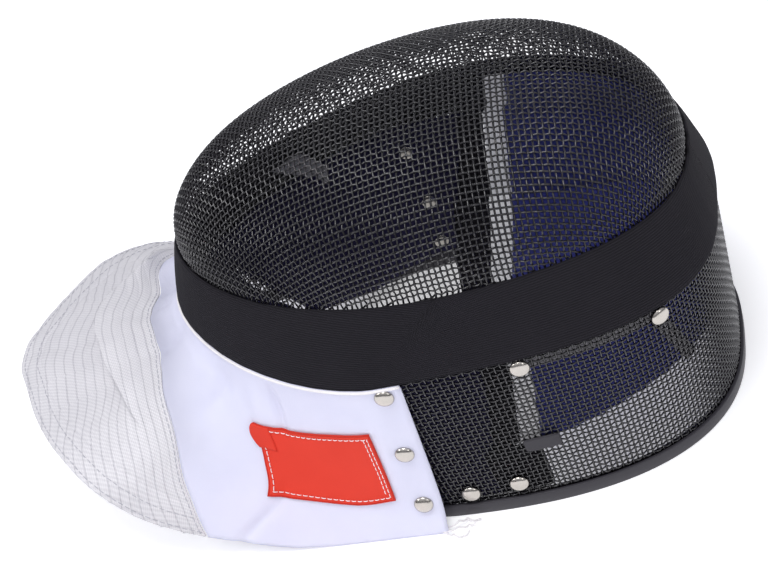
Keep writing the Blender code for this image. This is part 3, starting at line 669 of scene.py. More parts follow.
# %% Seam band
BAND_STATIONS = 420
BAND_PULL = 0.0003       # how far its sewn edges are drawn in
BAND_SWELL = 0.0005      # how far its middle stands out
BAND_RIPPLE = 0.00012

band_angles = girth_angle(np.arange(BAND_STATIONS) / BAND_STATIONS)
band_levels = np.linspace(1.0, 2.0, 25)
angle_grid, level_grid = np.meshgrid(band_angles, band_levels, indexing="ij")
edge_share = np.minimum(level_grid - 1.0, 2.0 - level_grid) / 0.06
pull = BAND_PULL * (1.0 - smooth(edge_share)) - BAND_SWELL * np.sin((level_grid - 1.0) * math.pi)
ripple = BAND_RIPPLE * np.sin(angle_grid * 31.0 + level_grid * 5.0) * np.sin(angle_grid * 17.0)
band_points = inset(cage, angle_grid, level_grid, pull + ripple)
band_mesh = sheet_mesh("seam_band", band_points, BAND_THICKNESS, closed=True)
band = link("seam_band_webbing", band_mesh, band_webbing, ["seam_band"])

# %% [markdown]
# Rim trim. A moulded channel of soft PVC is pushed over the cut foot of the side mesh. Its section
# is swept round the rim here, with each corner cut by a small bevel to catch the light. A curve
# with a bevel object would do it too, but would turn the section as the rim rises at the chin.

# %% Rim trim
RIM_HEIGHT = 0.0078
RIM_LEG = 0.0016
RIM_WEB = 0.0020
RIM_DEPTH = 0.0050
RIM_BEVEL = 0.0005
SLOT_WALL = RIM_DEPTH - 0.0014
RIM_STATIONS = 480


def rim_section():
    """Depth and height of each corner of the channel."""
    bevel = RIM_BEVEL
    return ((bevel, 0.0), (bevel * 0.3, bevel * 0.3), (0.0, bevel), (0.0, RIM_HEIGHT - bevel),
            (bevel * 0.3, RIM_HEIGHT - bevel * 0.3), (bevel, RIM_HEIGHT), (RIM_LEG, RIM_HEIGHT),
            (RIM_LEG, RIM_WEB), (SLOT_WALL, RIM_WEB), (SLOT_WALL, RIM_HEIGHT),
            (RIM_DEPTH - bevel, RIM_HEIGHT), (RIM_DEPTH, RIM_HEIGHT - bevel), (RIM_DEPTH, bevel),
            (RIM_DEPTH - bevel, 0.0))


rim_angles = girth_angle(np.arange(RIM_STATIONS) / RIM_STATIONS)
foot = rim_ring(rim_angles)
tangent = rim_ring(rim_angles + 1.0e-4) - rim_ring(rim_angles - 1.0e-4)
outward = unit(np.stack([tangent[:, 1], -tangent[:, 0], np.zeros(len(tangent))], axis=1))
upward = unit(band_ring(rim_angles, LOW, LOW_RISE) - foot)
sections = np.stack([foot - outward * d + upward * h for d, h in rim_section()], axis=1)
count, corners = sections.shape[:2]
i, j = np.meshgrid(np.arange(count), np.arange(corners), indexing="ij")
ahead, beside = (i + 1) % count, (j + 1) % corners
quads = np.stack([i * corners + j, ahead * corners + j, ahead * corners + beside, i * corners + beside], -1)
rim_mesh = bpy.data.meshes.new("rim_trim")
rim_mesh.from_pydata(sections.reshape(-1, 3).tolist(), [], quads.reshape(-1, 4).tolist())
rim_mesh.shade_smooth()
rim_mesh.set_sharp_from_angle(angle=math.radians(50.0))
link("rim_channel", rim_mesh, rim_pvc, ["rim_trim"])
print("rim faces", len(rim_mesh.polygons))

# %% [markdown]
# Bib. It is cut from flat cloth and hangs from the band: its free edge stands up at the tip and
# lies on the floor at the sides. One function gives its surface by a share round it and a share
# down it. The same sizes make the white part, the metallic front and the patch, so they meet.

# %% Surface of the bib
BIB_TIP_X = -0.1945
BIB_REAR_X = 0.0393
BIB_HALF_WIDTH = 0.1110
BIB_TIP_LIFT = 0.0600
BIB_THICKNESS = 0.0015
HEM_GAP = 0.0006
HEM_HEIGHT = 0.0030
HEM_SHARE = 0.05
BIB_PROFILE = table("step chin_out chin_down side_out side_down",
    (0.00, 0.00, 0.00, 0.00, 0.00), (0.20, 0.10, 0.24, 0.02, 0.22), (0.40, 0.26, 0.46, 0.06, 0.44),
    (0.60, 0.50, 0.66, 0.14, 0.65), (0.80, 0.75, 0.84, 0.36, 0.85), (1.00, 1.00, 1.00, 1.00, 1.00))
BIB_EDGE = table("round along wide lift",
    (0.000, 0.000, 0.000, 1.00), (0.035, 0.005, 0.090, 1.01), (0.080, 0.028, 0.210, 1.01),
    (0.175, 0.074, 0.440, 0.97), (0.293, 0.156, 0.700, 0.93), (0.387, 0.241, 0.870, 0.77),
    (0.461, 0.325, 0.945, 0.55), (0.529, 0.410, 0.976, 0.38), (0.630, 0.537, 0.996, 0.19),
    (0.714, 0.643, 1.000, 0.05), (0.798, 0.748, 1.000, 0.00), (1.000, 1.000, 1.000, 0.00))
FRONT_SEAM = table("round left right",
    (0.000, 0.330, 0.330), (0.130, 0.345, 0.395), (0.270, 0.460, 0.640), (0.376, 0.640, 0.740),
    (0.446, 0.813, 0.840), (0.506, 0.904, 0.915), (0.574, 1.000, 1.000))
FRONT_REACH = 0.570
REAR_ANGLE = angle_at(BIB_REAR_X, 1.0)


# %% Points of the bib
def bib_edge(share):
    """Free edge of the bib: share 0 at the tip, 1 and -1 at the rear corners."""
    reach = np.abs(share)
    x = BIB_TIP_X + (BIB_REAR_X - BIB_TIP_X) * curve(BIB_EDGE, "round", "along", reach)
    y = BIB_HALF_WIDTH * curve(BIB_EDGE, "round", "wide", reach) * np.sign(share)
    z = BIB_TIP_LIFT * curve(BIB_EDGE, "round", "lift", reach)
    return np.stack([x, y, np.maximum(z, 0.0) + 0.6 * BIB_THICKNESS], axis=-1)


def bib(share, down):
    """Outside of the bib, before its folds."""
    share, down = np.broadcast_arrays(share, down)
    angle = math.pi - share * (math.pi - REAR_ANGLE)
    height = wall_height(angle)
    top = cage(angle, 1.0 - HEM_GAP / height)
    start = cage(angle, 1.0 - (HEM_GAP + HEM_HEIGHT) / height)
    edge = bib_edge(share)
    side = smooth(np.abs(share) / 0.9)
    profile = {name: curve(BIB_PROFILE, "step", name, down) for name in BIB_PROFILE[0]}
    out = profile["chin_out"] + (profile["side_out"] - profile["chin_out"]) * side
    drop = profile["chin_down"] + (profile["side_down"] - profile["chin_down"]) * side
    points = start + (edge - start) * out[..., None]
    points[..., 2] = start[..., 2] + (edge[..., 2] - start[..., 2]) * drop
    hem = np.clip(-down / HEM_SHARE, 0.0, 1.0)[..., None]
    return points + (top - start) * hem


def seam_start(share):
    """How far down the bib the metallic front starts."""
    reach = np.abs(share)
    left, right = (curve(FRONT_SEAM, "round", side, reach) for side in ("left", "right"))
    return np.where(share < 0.0, left, right)


def down_length(share):
    """Length of the bib from band to free edge, along one line down it."""
    rows = bib(np.asarray(share)[..., None], np.linspace(0.0, 1.0, 25))
    return np.linalg.norm(np.diff(rows, axis=-2), axis=-1).sum(-1)


tip_length = float(down_length(np.array([0.0]))[0])
print("bib from band to tip", round(tip_length * 1000), "mm")

# %% [markdown]
# Folds. Cloth that hangs from a curve gathers in long soft folds, each deepest half way down it.
# A cloth simulation would place them anywhere, so each fold of the real bib is a row of a table:
# where it is, how wide, and how far it stands out. The metallic front is folded over on itself
# across the chin, and its quilting lines run at an even distance from the seam.

# %% Folds of the bib
FOLDS = table("round lean width rise top foot",
    ( -0.93,  0.02, 0.030,  0.0006,  0.05, 0.95), ( -0.63,  0.00, 0.012, -0.0024,  0.62, 1.20),
    (-0.585, -0.07, 0.014, -0.0032, -0.05, 0.46), ( -0.53, -0.05, 0.030,  0.0026,  0.00, 0.50),
    ( -0.44,  0.03, 0.024, -0.0028,  0.02, 0.60), ( -0.33,  0.02, 0.045,  0.0026,  0.02, 0.80),
    ( -0.20,  0.03, 0.030, -0.0024,  0.00, 0.55), ( -0.06,  0.00, 0.060,  0.0014,  0.00, 0.60),
    (  0.12,  0.02, 0.030, -0.0008,  0.00, 0.60), (  0.30,  0.00, 0.060,  0.0018,  0.00, 0.80),
    (  0.52,  0.03, 0.035, -0.0018,  0.00, 1.00), (  0.72, -0.02, 0.060,  0.0012,  0.05, 1.00))
OVERFOLD = table("round down step",
    (-0.34, 0.735, 0.0000), (-0.28, 0.690, 0.0020), (-0.24, 0.653, 0.0045), (-0.15, 0.617, 0.0070),
    (-0.05, 0.599, 0.0080), ( 0.03, 0.614, 0.0085), ( 0.09, 0.634, 0.0085), ( 0.15, 0.618, 0.0085),
    ( 0.23, 0.638, 0.0085), ( 0.34, 0.785, 0.0040), ( 0.42, 0.900, 0.0000))
CHANNEL = 0.0056
CHANNEL_DEPTH = 0.0005
HEM_LINE = 0.0100
METALLIC_FOLDS = 0.7     # the stiffer front shows the folds of the white cloth this much


# %% Relief of the cloth
def fold_rise(share, down):
    """How far the folds stand out."""
    total = np.zeros(np.broadcast(share, down).shape)
    for row in FOLDS:
        place = row["round"] + row["lean"] * down
        reach = smooth((down - row["top"]) / 0.25) * smooth((row["foot"] - down) / 0.25)
        total = total + row["rise"] * np.exp(-((share - place) / row["width"]) ** 2) * reach
    return total


def overfold_rise(share, down):
    """The metallic front bulges up to its overfold, drops sharply, and recovers."""
    crease = curve(OVERFOLD, "round", "down", share)
    step = np.where((share > OVERFOLD[0]["round"]) & (share < OVERFOLD[-1]["round"]),
                    curve(OVERFOLD, "round", "step", share), 0.0)
    start = seam_start(share)
    before = smooth((down - start) / np.maximum(crease - start, 0.05))
    after = 1.0 - smooth((down - crease) / 0.013)
    recover = 0.45 * smooth((down - crease) / 0.03) * (1.0 - smooth((down - crease - 0.03) / 0.30))
    return step * (np.where(down < crease, before, after) - recover)


def quilt_rise(share, down):
    """Sewn channels of the metallic front, and the flat hem along its free edge."""
    length = down_length(share)
    from_seam = (down - seam_start(share)) * length
    from_edge = (1.0 - down) * length
    pillow = np.abs(np.sin(math.pi * from_seam / CHANNEL)) ** 0.4
    groove = np.exp(-((from_edge - HEM_LINE) / 0.0007) ** 2)
    return CHANNEL_DEPTH * pillow - 0.0004 * groove


def bib_outside(share, down, metallic):
    """Points of the bib's outside with its folds."""
    share, down = np.broadcast_arrays(share, down)
    points = bib(share, down)
    normals = grid_normals(points)
    rise = fold_rise(share, down)
    if metallic:
        rise = rise * METALLIC_FOLDS + overfold_rise(share, down) + quilt_rise(share[:, :1], down)
    return points + normals * rise[..., None]


print("folds", len(FOLDS), "channels of", CHANNEL * 1000.0, "mm")

# %% [markdown]
# White part of the bib. It is one piece of twill from ear to ear, lapped under the metallic front.
# A plane could be shrink-wrapped to the shape, but a grid laid on the bib's own surface keeps the
# threads straight. The hem under the band is a thin rolled edge, which shows as a bright line.

# %% White cloth
FLOOR_GAP = 0.0009
shares = np.linspace(-1.0, 1.0, 321)
end = np.where(np.abs(shares) < FRONT_REACH, seam_start(shares) - 0.003, 1.0)
rows = np.linspace(0.0, 1.0, 52)
hem_rows = np.array([[-HEM_SHARE, -0.6 * HEM_SHARE]] * len(shares))
down = np.concatenate([hem_rows, end[:, None] * rows], axis=1)
white_points = bib_outside(shares[:, None], down, False)
white_points[..., 2] = np.maximum(white_points[..., 2], FLOOR_GAP)
white = link("bib_white_twill", sheet_mesh("bib_white", white_points, BIB_THICKNESS), white_twill,
             ["bib_white"])
hem_points = bib(shares, np.full(shares.shape, -HEM_SHARE * 0.75))
hem_normals = facing(bib, shares, np.full(shares.shape, 0.02))
piping = tubes("bib_piping", [(hem_points + hem_normals * 0.0002, hem_normals, False)], 0.0008, 8,
               white_thread)

# %% [markdown]
# Front of the bib. The real one is woven with steel thread, so that a touch on it can be signalled,
# and is quilted in channels. Its grid is finer than the white one's, because the channels are real
# relief: a bump map alone would leave its fold smooth in outline.

# %% Metallic cloth
shares = np.linspace(-FRONT_REACH, FRONT_REACH, 221)
rows = np.linspace(0.0, 1.0, 184)
start = seam_start(shares)[:, None]
down = start + (1.0 - start) * rows[None, :]
front_points = bib_outside(shares[:, None], down, True)
front = link("bib_front_steel_cloth", sheet_mesh("bib_front", front_points, BIB_THICKNESS),
             steel_thread_cloth, ["bib_front"])


# %% [markdown]
# Loose threads. The rear corner of the real bib is frayed, and a few threads lie on the floor. Hair
# strands could be scattered there, but three drawn one by one have the right loops.

# %% Loose threads
FRINGE = (
    ((0.0375, -0.1110, 0.0010), (0.0440, -0.1105, 0.0030),
     (0.0500, -0.1080, 0.0012), (0.0545, -0.1070, 0.0022)),
    ((0.0370, -0.1112, 0.0012), (0.0420, -0.1140, 0.0022),
     (0.0470, -0.1150, 0.0009), (0.0505, -0.1120, 0.0010)),
    ((0.0380, -0.1095, 0.0014), (0.0450, -0.1070, 0.0040),
     (0.0490, -0.1040, 0.0016), (0.0560, -0.1050, 0.0008)),
)
strands = []
for row in FRINGE:
    knots_of_row = np.array(row)
    at = np.linspace(0.0, 3.0, 25)
    near_knot = np.clip(at.astype(int), 0, 2)
    blend = smooth(at - near_knot)[:, None]
    points = knots_of_row[near_knot] * (1.0 - blend) + knots_of_row[near_knot + 1] * blend
    curl = np.stack([np.zeros(25), 0.0006 * np.sin(at * 7.0), 0.0002 * np.cos(at * 9.0) + 0.0002], axis=1)
    points = points + curl
    strands.append((points, np.tile([0.0, 0.0, 1.0], (25, 1)), False))
tubes("bib_fringe", strands, 0.00055, 6, white_thread)
print("loose threads", len(strands))

# %% [markdown]
# Stitches. Each is a short length of thread that dips into the cloth at both ends. A dashed texture
# would lie flat, so they are laid along a line on the bib as small tubes, at a real stitch length,
# and joined into one piece for each seam.


# %% Stitches
def stitches(name, line, normals, length, gap, radius, material, slot):
    """Row of stitches along a line of points."""
    lengths = np.concatenate([[0.0], np.cumsum(np.linalg.norm(np.diff(line, axis=0), axis=1))])
    paths = []
    for begin in np.arange(0.0, lengths[-1] - length, length + gap):
        at = begin + length * np.linspace(0.0, 1.0, 5)
        points = np.stack([np.interp(at, lengths, line[:, k]) for k in range(3)], axis=1)
        out = unit(np.stack([np.interp(at, lengths, normals[:, k]) for k in range(3)], axis=1))
        lift = radius * np.array([-0.6, 0.7, 1.0, 0.7, -0.6])
        paths.append((points + out * lift[:, None], out, False))
    return tubes(name, paths, radius, 5, material)


# %% Seams of the metallic cloth
SEAMS = table("name distance from_edge length gap radius",
    ("seam_stitches", 0.0022, False, 0.0026, 0.0010, 0.00022),
    ("hem_stitches", HEM_LINE, True, 0.0028, 0.0012, 0.00018),
    ("edge_stitches", 0.0025, True, 0.0028, 0.0012, 0.00020))
front_normals = grid_normals(front_points)


def line_on_front(wanted, from_edge):
    """Line on the metallic cloth at a distance from its seam, or from its free edge."""
    grid = front_points[:, ::-1] if from_edge else front_points
    distance = np.cumsum(np.linalg.norm(np.diff(grid, axis=1, prepend=grid[:, :1]), axis=2), 1)
    if from_edge:
        distance = distance[:, ::-1]
    picked = [(i, int(np.argmin(np.abs(distance[i] - wanted)))) for i in range(len(distance))
              if distance[i].max() > wanted + 0.001]
    i, j = np.array(picked).T
    return front_points[i, j], front_normals[i, j]


threads = [stitches(row["name"], *line_on_front(row["distance"], row["from_edge"]), row["length"],
                    row["gap"], row["radius"], grey_thread, "conductive_cloth") for row in SEAMS]
print("seams", [row["name"] for row in SEAMS])

# %% [markdown]
# Patch. A plain red badge is turned in at its edges and sewn on with white thread, a little askew.
# It could be painted on the cloth, but its doubled border stands up and casts a thin shadow. So it
# is a sheet of its own between four corners, given as a share round and down the bib.

# %% Surface of the patch
PATCH_CORNERS = {"front_top": (-0.534, 0.371), "rear_top": (-0.887, 0.245),
                 "front_foot": (-0.605, 0.795), "rear_foot": (-0.906, 0.715)}
PATCH_LIFT = 0.0011
PATCH_THICKNESS = 0.0008
PATCH_WAVES = {"top": 0.010, "foot": 0.008}


def patch_point(back, drop, lift):
    """Point of the patch by shares back and down it."""
    weights = {"front_top": (1.0 - back) * (1.0 - drop), "rear_top": back * (1.0 - drop),
               "front_foot": (1.0 - back) * drop, "rear_foot": back * drop}
    share = sum(weights[name] * PATCH_CORNERS[name][0] for name in weights)
    down = sum(weights[name] * PATCH_CORNERS[name][1] for name in weights)
    down = (down + PATCH_WAVES["top"] * np.sin(back * 7.0 + 0.6) * (1.0 - drop)
            + PATCH_WAVES["foot"] * np.sin(back * 8.0 + 2.0) * drop)
    points = bib(share, down)
    out = facing(bib, share, down)
    return points + out * (fold_rise(share, down) + lift)[..., None], out


# %% Cloth of the patch
back, drop = np.meshgrid(np.linspace(1.0, 0.0, 60), np.linspace(0.0, 1.0, 44), indexing="ij")
edge_share = np.minimum(np.minimum(back, 1.0 - back) * 68.0, np.minimum(drop, 1.0 - drop) * 46.0)
doubled = 0.0003 * (1.0 - smooth((edge_share - 1.2) / 0.8))
lift = PATCH_LIFT + doubled - 0.0005 * (1.0 - smooth(edge_share / 0.5))
patch_points, _ = patch_point(back, drop, lift)
patch = link("patch_twill", sheet_mesh("patch", patch_points, PATCH_THICKNESS), red_twill,
             ["patch"])

# %% Border and stitches of the patch
LONG_SIDE, SHORT_SIDE = np.linspace(0.03, 0.97, 40), np.linspace(0.06, 0.94, 30)
loop = np.concatenate([np.stack([LONG_SIDE, np.full(40, 0.055)], 1),
                       np.stack([np.full(30, 0.965), SHORT_SIDE], 1),
                       np.stack([LONG_SIDE[::-1], np.full(40, 0.945)], 1),
                       np.stack([np.full(30, 0.035), SHORT_SIDE[::-1]], 1)])
border = 0.5 + (loop - 0.5) * np.array([1.062, 1.115])
border_line, border_normals = patch_point(*border.T, np.full(len(loop), PATCH_LIFT - 0.0002))
tubes("patch_border", [(border_line, border_normals, True)], 0.0006, 8, red_edge)
second = np.stack([np.full(30, 0.925), SHORT_SIDE], 1)
for name, path, over in (("patch_stitches", loop, 0.0003), ("patch_stitches_rear", second, 0.0001)):
    line, normals = patch_point(*path.T, np.full(len(path), PATCH_LIFT + over))
    stitches(name, line, normals, 0.0024, 0.0009, 0.00025, white_thread, "patch_cloth")

# %% Turned corner of the patch
TAB_FOOT = 0.36          # the corner's length, as a share of the patch's height
TAB_ROOT = 0.115
tab_reach, tab_drop = np.meshgrid(np.linspace(0.0, 1.0, 16), np.linspace(0.0, TAB_FOOT, 20), indexing="ij")
tab_edge = np.minimum(np.minimum(tab_reach, 1.0 - tab_reach) * 9.0,
                      np.minimum(tab_drop, TAB_FOOT - tab_drop) * 24.0)
tab_rise = PATCH_LIFT + 0.0010 - 0.0005 * (1.0 - smooth(tab_edge))
tab_left = -0.008 - 0.046 * np.sin(np.clip(tab_drop / TAB_FOOT, 0.0, 1.0) * math.pi) ** 0.8
tab_points, _ = patch_point(TAB_ROOT + (tab_left - TAB_ROOT) * tab_reach, tab_drop, tab_rise)
patch_tab = link("patch_turned_corner", sheet_mesh("patch_turned_corner", tab_points, PATCH_THICKNESS),
                 red_twill)

# %% [markdown]
# Rivets. Each is a nickel-plated dome about 10 mm across, pressed flat enough that its edge sits on
# the cloth or the wires. A squashed sphere would do from afar, but the short upright edge under the
# dome gives the dark ring at its foot. So a profile is spun, and turned to face out at each place.

# %% Rivets
RIVET_RADIUS = 0.0050
RIVET_HEIGHT = 0.0024
RIVET_SIDES = 28
RIVET_BACK = {"radius": 0.0042, "height": 0.0010, "depth": 0.0072}
RIVET_BACKS = table("turn level", (0.526, 0.83), (0.535, 0.47), (0.550, 0.18))
BIB_RIVETS = table("name round down",
    ("bib_top", 0.986, 0.03),
    ("bib_middle", 0.985, 0.41),
    ("bib_foot", 0.984, 0.77))
WALL_RIVETS = table("name along level",
    ("rim_front", 0.094, 0.145),
    ("rim_rear", 0.259, 0.165),
    ("strap", 0.380, 0.935),
    ("crown", 0.821, 0.935))


def rivet_mesh(name, seat, out, radius=RIVET_RADIUS, height=RIVET_HEIGHT):
    """Domed head, standing on its seat."""
    rise = np.linspace(0.0, math.pi / 2.0, 9)
    radii = np.concatenate([[0.90, 1.0, 1.0], np.cos(rise[1:-1]) ** 0.72])
    heights = np.concatenate([[0.0, 0.04, 0.16], 0.16 + 0.84 * np.sin(rise[1:-1]) ** 1.15])
    count = RIVET_SIDES
    turn = np.arange(count) * 2.0 * math.pi / count
    basis = np.array(Vector(out).to_track_quat("Z", "Y").to_matrix())
    ring = np.stack([radii[:, None] * np.cos(turn), radii[:, None] * np.sin(turn),
                     np.repeat(heights[:, None], count, axis=1)], axis=-1)
    ring = ring * np.array([radius, radius, height])
    points = np.concatenate([ring.reshape(-1, 3), [[0.0, 0.0, height]]]) @ basis.T + seat
    faces = [tuple(range(count - 1, -1, -1))]
    for low in range(0, (len(radii) - 1) * count, count):
        faces += [(low + k, low + (k + 1) % count, low + count + (k + 1) % count, low + count + k)
                  for k in range(count)]
    last = (len(radii) - 1) * count
    faces += [(last + k, last + (k + 1) % count, len(points) - 1) for k in range(count)]
    mesh = bpy.data.meshes.new(name)
    mesh.from_pydata(points.tolist(), [], faces)
    mesh.shade_smooth()
    return mesh


# %% Rivets in their places
for label, side in (("near", -1.0), ("far", 1.0)):
    seats = {}
    for row in BIB_RIVETS:
        place = (np.array(side * row["round"]), np.array(row["down"]))
        seats[row["name"]] = (bib(*place), facing(bib, *place), 0.0001)
    for row in WALL_RIVETS:
        x = BIB_REAR_X + (RIM["head_x"] - BIB_REAR_X) * row["along"]
        place = (np.array(side * angle_at(x, row["level"])), np.array(row["level"]))
        seats[row["name"]] = (cage(*place), facing(cage, *place), -0.0015)
    for kind, (seat, out, lift) in seats.items():
        name = "rivet_" + kind + "_" + label
        link(name + "_nickel", rivet_mesh(name, seat + out * lift, out), nickel_plate, [name])
    for number, row in enumerate(RIVET_BACKS):
        place = (np.array((row["turn"] if side > 0 else 2.0 - row["turn"]) * math.pi), np.array(row["level"]))
        out = facing(cage, *place)
        name = "rivet_back_" + str(number) + "_" + label
        seat = cage(*place) - out * RIVET_BACK["depth"]
        link(name, rivet_mesh(name, seat, -out, RIVET_BACK["radius"], RIVET_BACK["height"]), nickel_plate)
print("rivets", 2 * (len(BIB_RIVETS) + len(WALL_RIVETS)), "backs", 2 * len(RIVET_BACKS))

# %% [markdown]
# Crown cup. A padded sling of navy tricot holds the crown. It hangs behind the band round the top
# of the head, comes down the wall, and turns in under the head. A cloth simulation could inflate
# it, but the real pad is thin foam that keeps its form, so a rounded edge and faint ribs do it.

# %% Surface of the crown cup
PAD_FRONT_X = 0.0880
PAD_SKEW = 0.0130
PAD_THICKNESS = 0.0050
PAD_EDGE = 0.0016
PAD_FLOOR_HEIGHT = 0.0200
CUP_MIDDLE_X = 0.0400
CUP_REACH = 0.60
CUP_TOP_LEVEL = 1.80
WALL_LEAD = 0.342
FLOOR_LEAD = 0.080
STRAP_LINE = table("across back",
    (-1.00,  0.0000), (-0.85,  0.0030), (-0.72,  0.0045), (-0.60, -0.0040), (-0.50, -0.0085),
    (-0.35, -0.0090), (-0.15, -0.0050), ( 0.10,  0.0000), ( 0.20, -0.0030), ( 0.30, -0.0055),
    ( 0.40, -0.0075), ( 0.50, -0.0088), ( 0.60, -0.0083), ( 0.70, -0.0015), ( 0.80,  0.0042),
    ( 0.90,  0.0015), ( 1.00,  0.0000))


def cup(angle, radius):
    """Outside of the crown cup: radius 1 up behind the band, 0 under the head."""
    angle, radius = np.broadcast_arrays(angle, radius)
    x = cage(angle, 0.5)[..., 0]
    leave = 0.42 + 0.20 * smooth((x - PAD_FRONT_X) / (LOW["head_x"] - PAD_FRONT_X))
    climb = np.clip((radius - CUP_REACH) / (1.0 - CUP_REACH), 0.0, 1.0)
    points = cage(angle, leave + (CUP_TOP_LEVEL - leave) * climb)
    swing = math.pi / 2.0 * np.clip(radius / CUP_REACH, 0.0, 1.0)
    centre = np.array([CUP_MIDDLE_X, 0.0])
    points[..., :2] = centre + (points[..., :2] - centre) * np.sin(swing)[..., None]
    points[..., 2] -= (points[..., 2] - PAD_FLOOR_HEIGHT) * np.cos(swing)
    return points


def disc(along, across):
    """Radius and angle on the unit disc of a point of the square."""
    right = along * np.sqrt(1.0 - across ** 2 / 2.0)
    left = across * np.sqrt(1.0 - along ** 2 / 2.0)
    return np.hypot(right, left), np.arctan2(left, right)


def cup_place(across, along):
    """Angle and radius in the cup of a point of the square, skewed from side to side."""
    skew = PAD_SKEW / (LOW["head_x"] - LOW["widest_x"]) * across * (1.0 - np.clip(along, 0.0, 1.0))
    radius, angle = disc(along - skew, across)
    return angle, radius


def cup_points(across, ahead, depth):
    """Points a distance ahead of the cup's front edge, or a share back to its far end."""
    lead = FLOOR_LEAD + (WALL_LEAD - FLOOR_LEAD) * across ** 2
    span = cup(*cup_place(across, lead + 0.001)) - cup(*cup_place(across, lead - 0.001))
    scale = np.linalg.norm(span, axis=-1) / 0.002
    lead = lead + curve(STRAP_LINE, "across", "back", across) / scale
    reach = lead + (1.0 - lead) * np.clip(-ahead, 0.0, 1.0)
    angle, radius = cup_place(across, reach - np.clip(ahead, 0.0, 1.0) / scale)
    return inset(cup, angle, radius, depth)


# %% Crown cup
across, back_share = np.meshgrid(np.linspace(-1.0, 1.0, 121), np.linspace(0.0, 1.0, 81), indexing="ij")
edge_share = np.minimum(np.minimum(1.0 - np.abs(across), 1.0), np.minimum(back_share, 1.0 - back_share) * 1.4)
body = smooth(edge_share / 0.06)
quilt = 0.0006 * np.abs(np.sin(across * 9.0)) * body
pad_depth = LINING_DEPTH + 0.0006 * (1.0 - body)
pad_outer = cup_points(across, -back_share, pad_depth)
pad_thickness = PAD_EDGE + (PAD_THICKNESS - PAD_EDGE) * body + quilt
pad = link("crown_pad_tricot", sheet_mesh("crown_pad", pad_outer, pad_thickness), navy_tricot,
           ["crown_pad"])
print("crown cup", len(pad.data.polygons), "faces")

# %% [markdown]
# Straps. A light webbing strap binds the front edge of the cup, and a black elastic runs beside it.
# Both go from wall to wall under the head. A curve with a flat section would twist where they turn
# up the wall, so they are laid as strips on the cup's own surface, ahead of its edge.


# %% Straps
STRAP_THICKNESS = 0.0014


def strap(name, start, width, material, node):
    """Flat strap ahead of the cup's front edge."""
    across, ahead = np.meshgrid(np.linspace(-1.0, 1.0, 141), start + width * np.linspace(1.0, 0.0, 9),
                                indexing="ij")
    points = cup_points(across, ahead, np.full(across.shape, LINING_DEPTH))
    piece = link(name, sheet_mesh(name, points, STRAP_THICKNESS), material, [node])


strap("back_strap_webbing", 0.0004, 0.0110, strap_webbing, "back_strap")
strap("back_elastic_band", 0.0118, 0.0130, black_elastic, "back_elastic")

# %% [markdown]
# Chin liner. Thin foam in dark tricot lines the cheeks and the chin, and stops short of the straps.
# Its foot isn't sewn down, so it hangs inwards round the chin and hides the floor there. A table
# cuts the small slot beside the chin. It could be one smooth shell, but the slot's sparkle through
# the mesh would be lost.

# %% Edges of the chin liner
LINER_EDGE = table("turn foot",
    (0.000, 0.00), (0.760, 0.00), (0.815, 0.05), (0.838, 0.20), (0.852, 0.58), (0.860, 0.68),
    (0.868, 0.34), (0.888, 0.00), (1.000, 0.00))
LINER_SAG = 0.045        # how far its foot hangs off the wall at the chin
LINER_TOP = 1.06         # level of its upper edge, behind the band
LINER_STATIONS = 221
LINER_ROWS = 36
ELASTIC_REACH = 0.0242   # the elastic's far edge, ahead of the cup


def liner_end(side, level):
    """Angle where the liner stops at a level, just short of the elastic."""
    across = side * np.linspace(0.60, 1.0, 41)
    front = cup_points(across, np.full(41, ELASTIC_REACH), np.full(41, LINING_DEPTH))
    at_height = np.interp(level, front[:, 2] / LOW_RISE["height"], front[:, 0])
    dense = np.linspace(math.pi, 0.0, 1441)
    wall_x = cage(dense[:, None], np.clip(level, 0.0, LINER_TOP)[None, :])[..., 0]
    return np.array([np.interp(x, wall_x[:, k], dense) for k, x in enumerate(at_height)])


# %% Chin liner
share = np.linspace(0.0, 1.0, LINER_ROWS)
rough_levels = 0.06 + share
far_end, near_end = liner_end(1.0, rough_levels), 2.0 * math.pi - liner_end(-1.0, rough_levels)
step = np.linspace(0.0, 1.0, LINER_STATIONS)[:, None]
angle_grid = far_end[None, :] + (near_end - far_end)[None, :] * step
turn = 1.0 - np.abs(angle_grid / math.pi - 1.0)
over_rim = (RIM_HEIGHT + 0.0002) / wall_height(angle_grid)
foot_level = np.maximum(over_rim, curve(LINER_EDGE, "turn", "foot", turn))
levels = foot_level + (LINER_TOP - foot_level) * share[None, :]
stations = np.arange(LINER_STATIONS)
ends = np.minimum(stations, stations[::-1])[:, None] / 6.0
body = smooth(np.minimum(ends, np.minimum(share, 1.0 - share)[None, :] / 0.06))
thin = smooth((LINER_TOP - foot_level) / 0.5)
sag = LINER_SAG * smooth((turn - 0.56) / 0.34) * smooth((0.50 - levels) / 0.34)
liner_outer = inset(cage, angle_grid, levels, LINING_DEPTH + 0.0004 * (1.0 - body) + sag)
liner_thickness = 0.0012 + 0.0018 * body * thin
liner = link("chin_liner_tricot", sheet_mesh("chin_liner", liner_outer, liner_thickness), dark_tricot,
             ["chin_liner"])
print("chin liner", len(liner.data.polygons), "faces")

# %% [markdown]
# Small light pieces inside. A scrap of webbing is sewn to the liner at the far cheek, and a thin
# light binding runs under the band between two rivets on the near side. Planes pulled on to the
# wall would need a modifier each, so one function lays a strip between four corners of the wall.


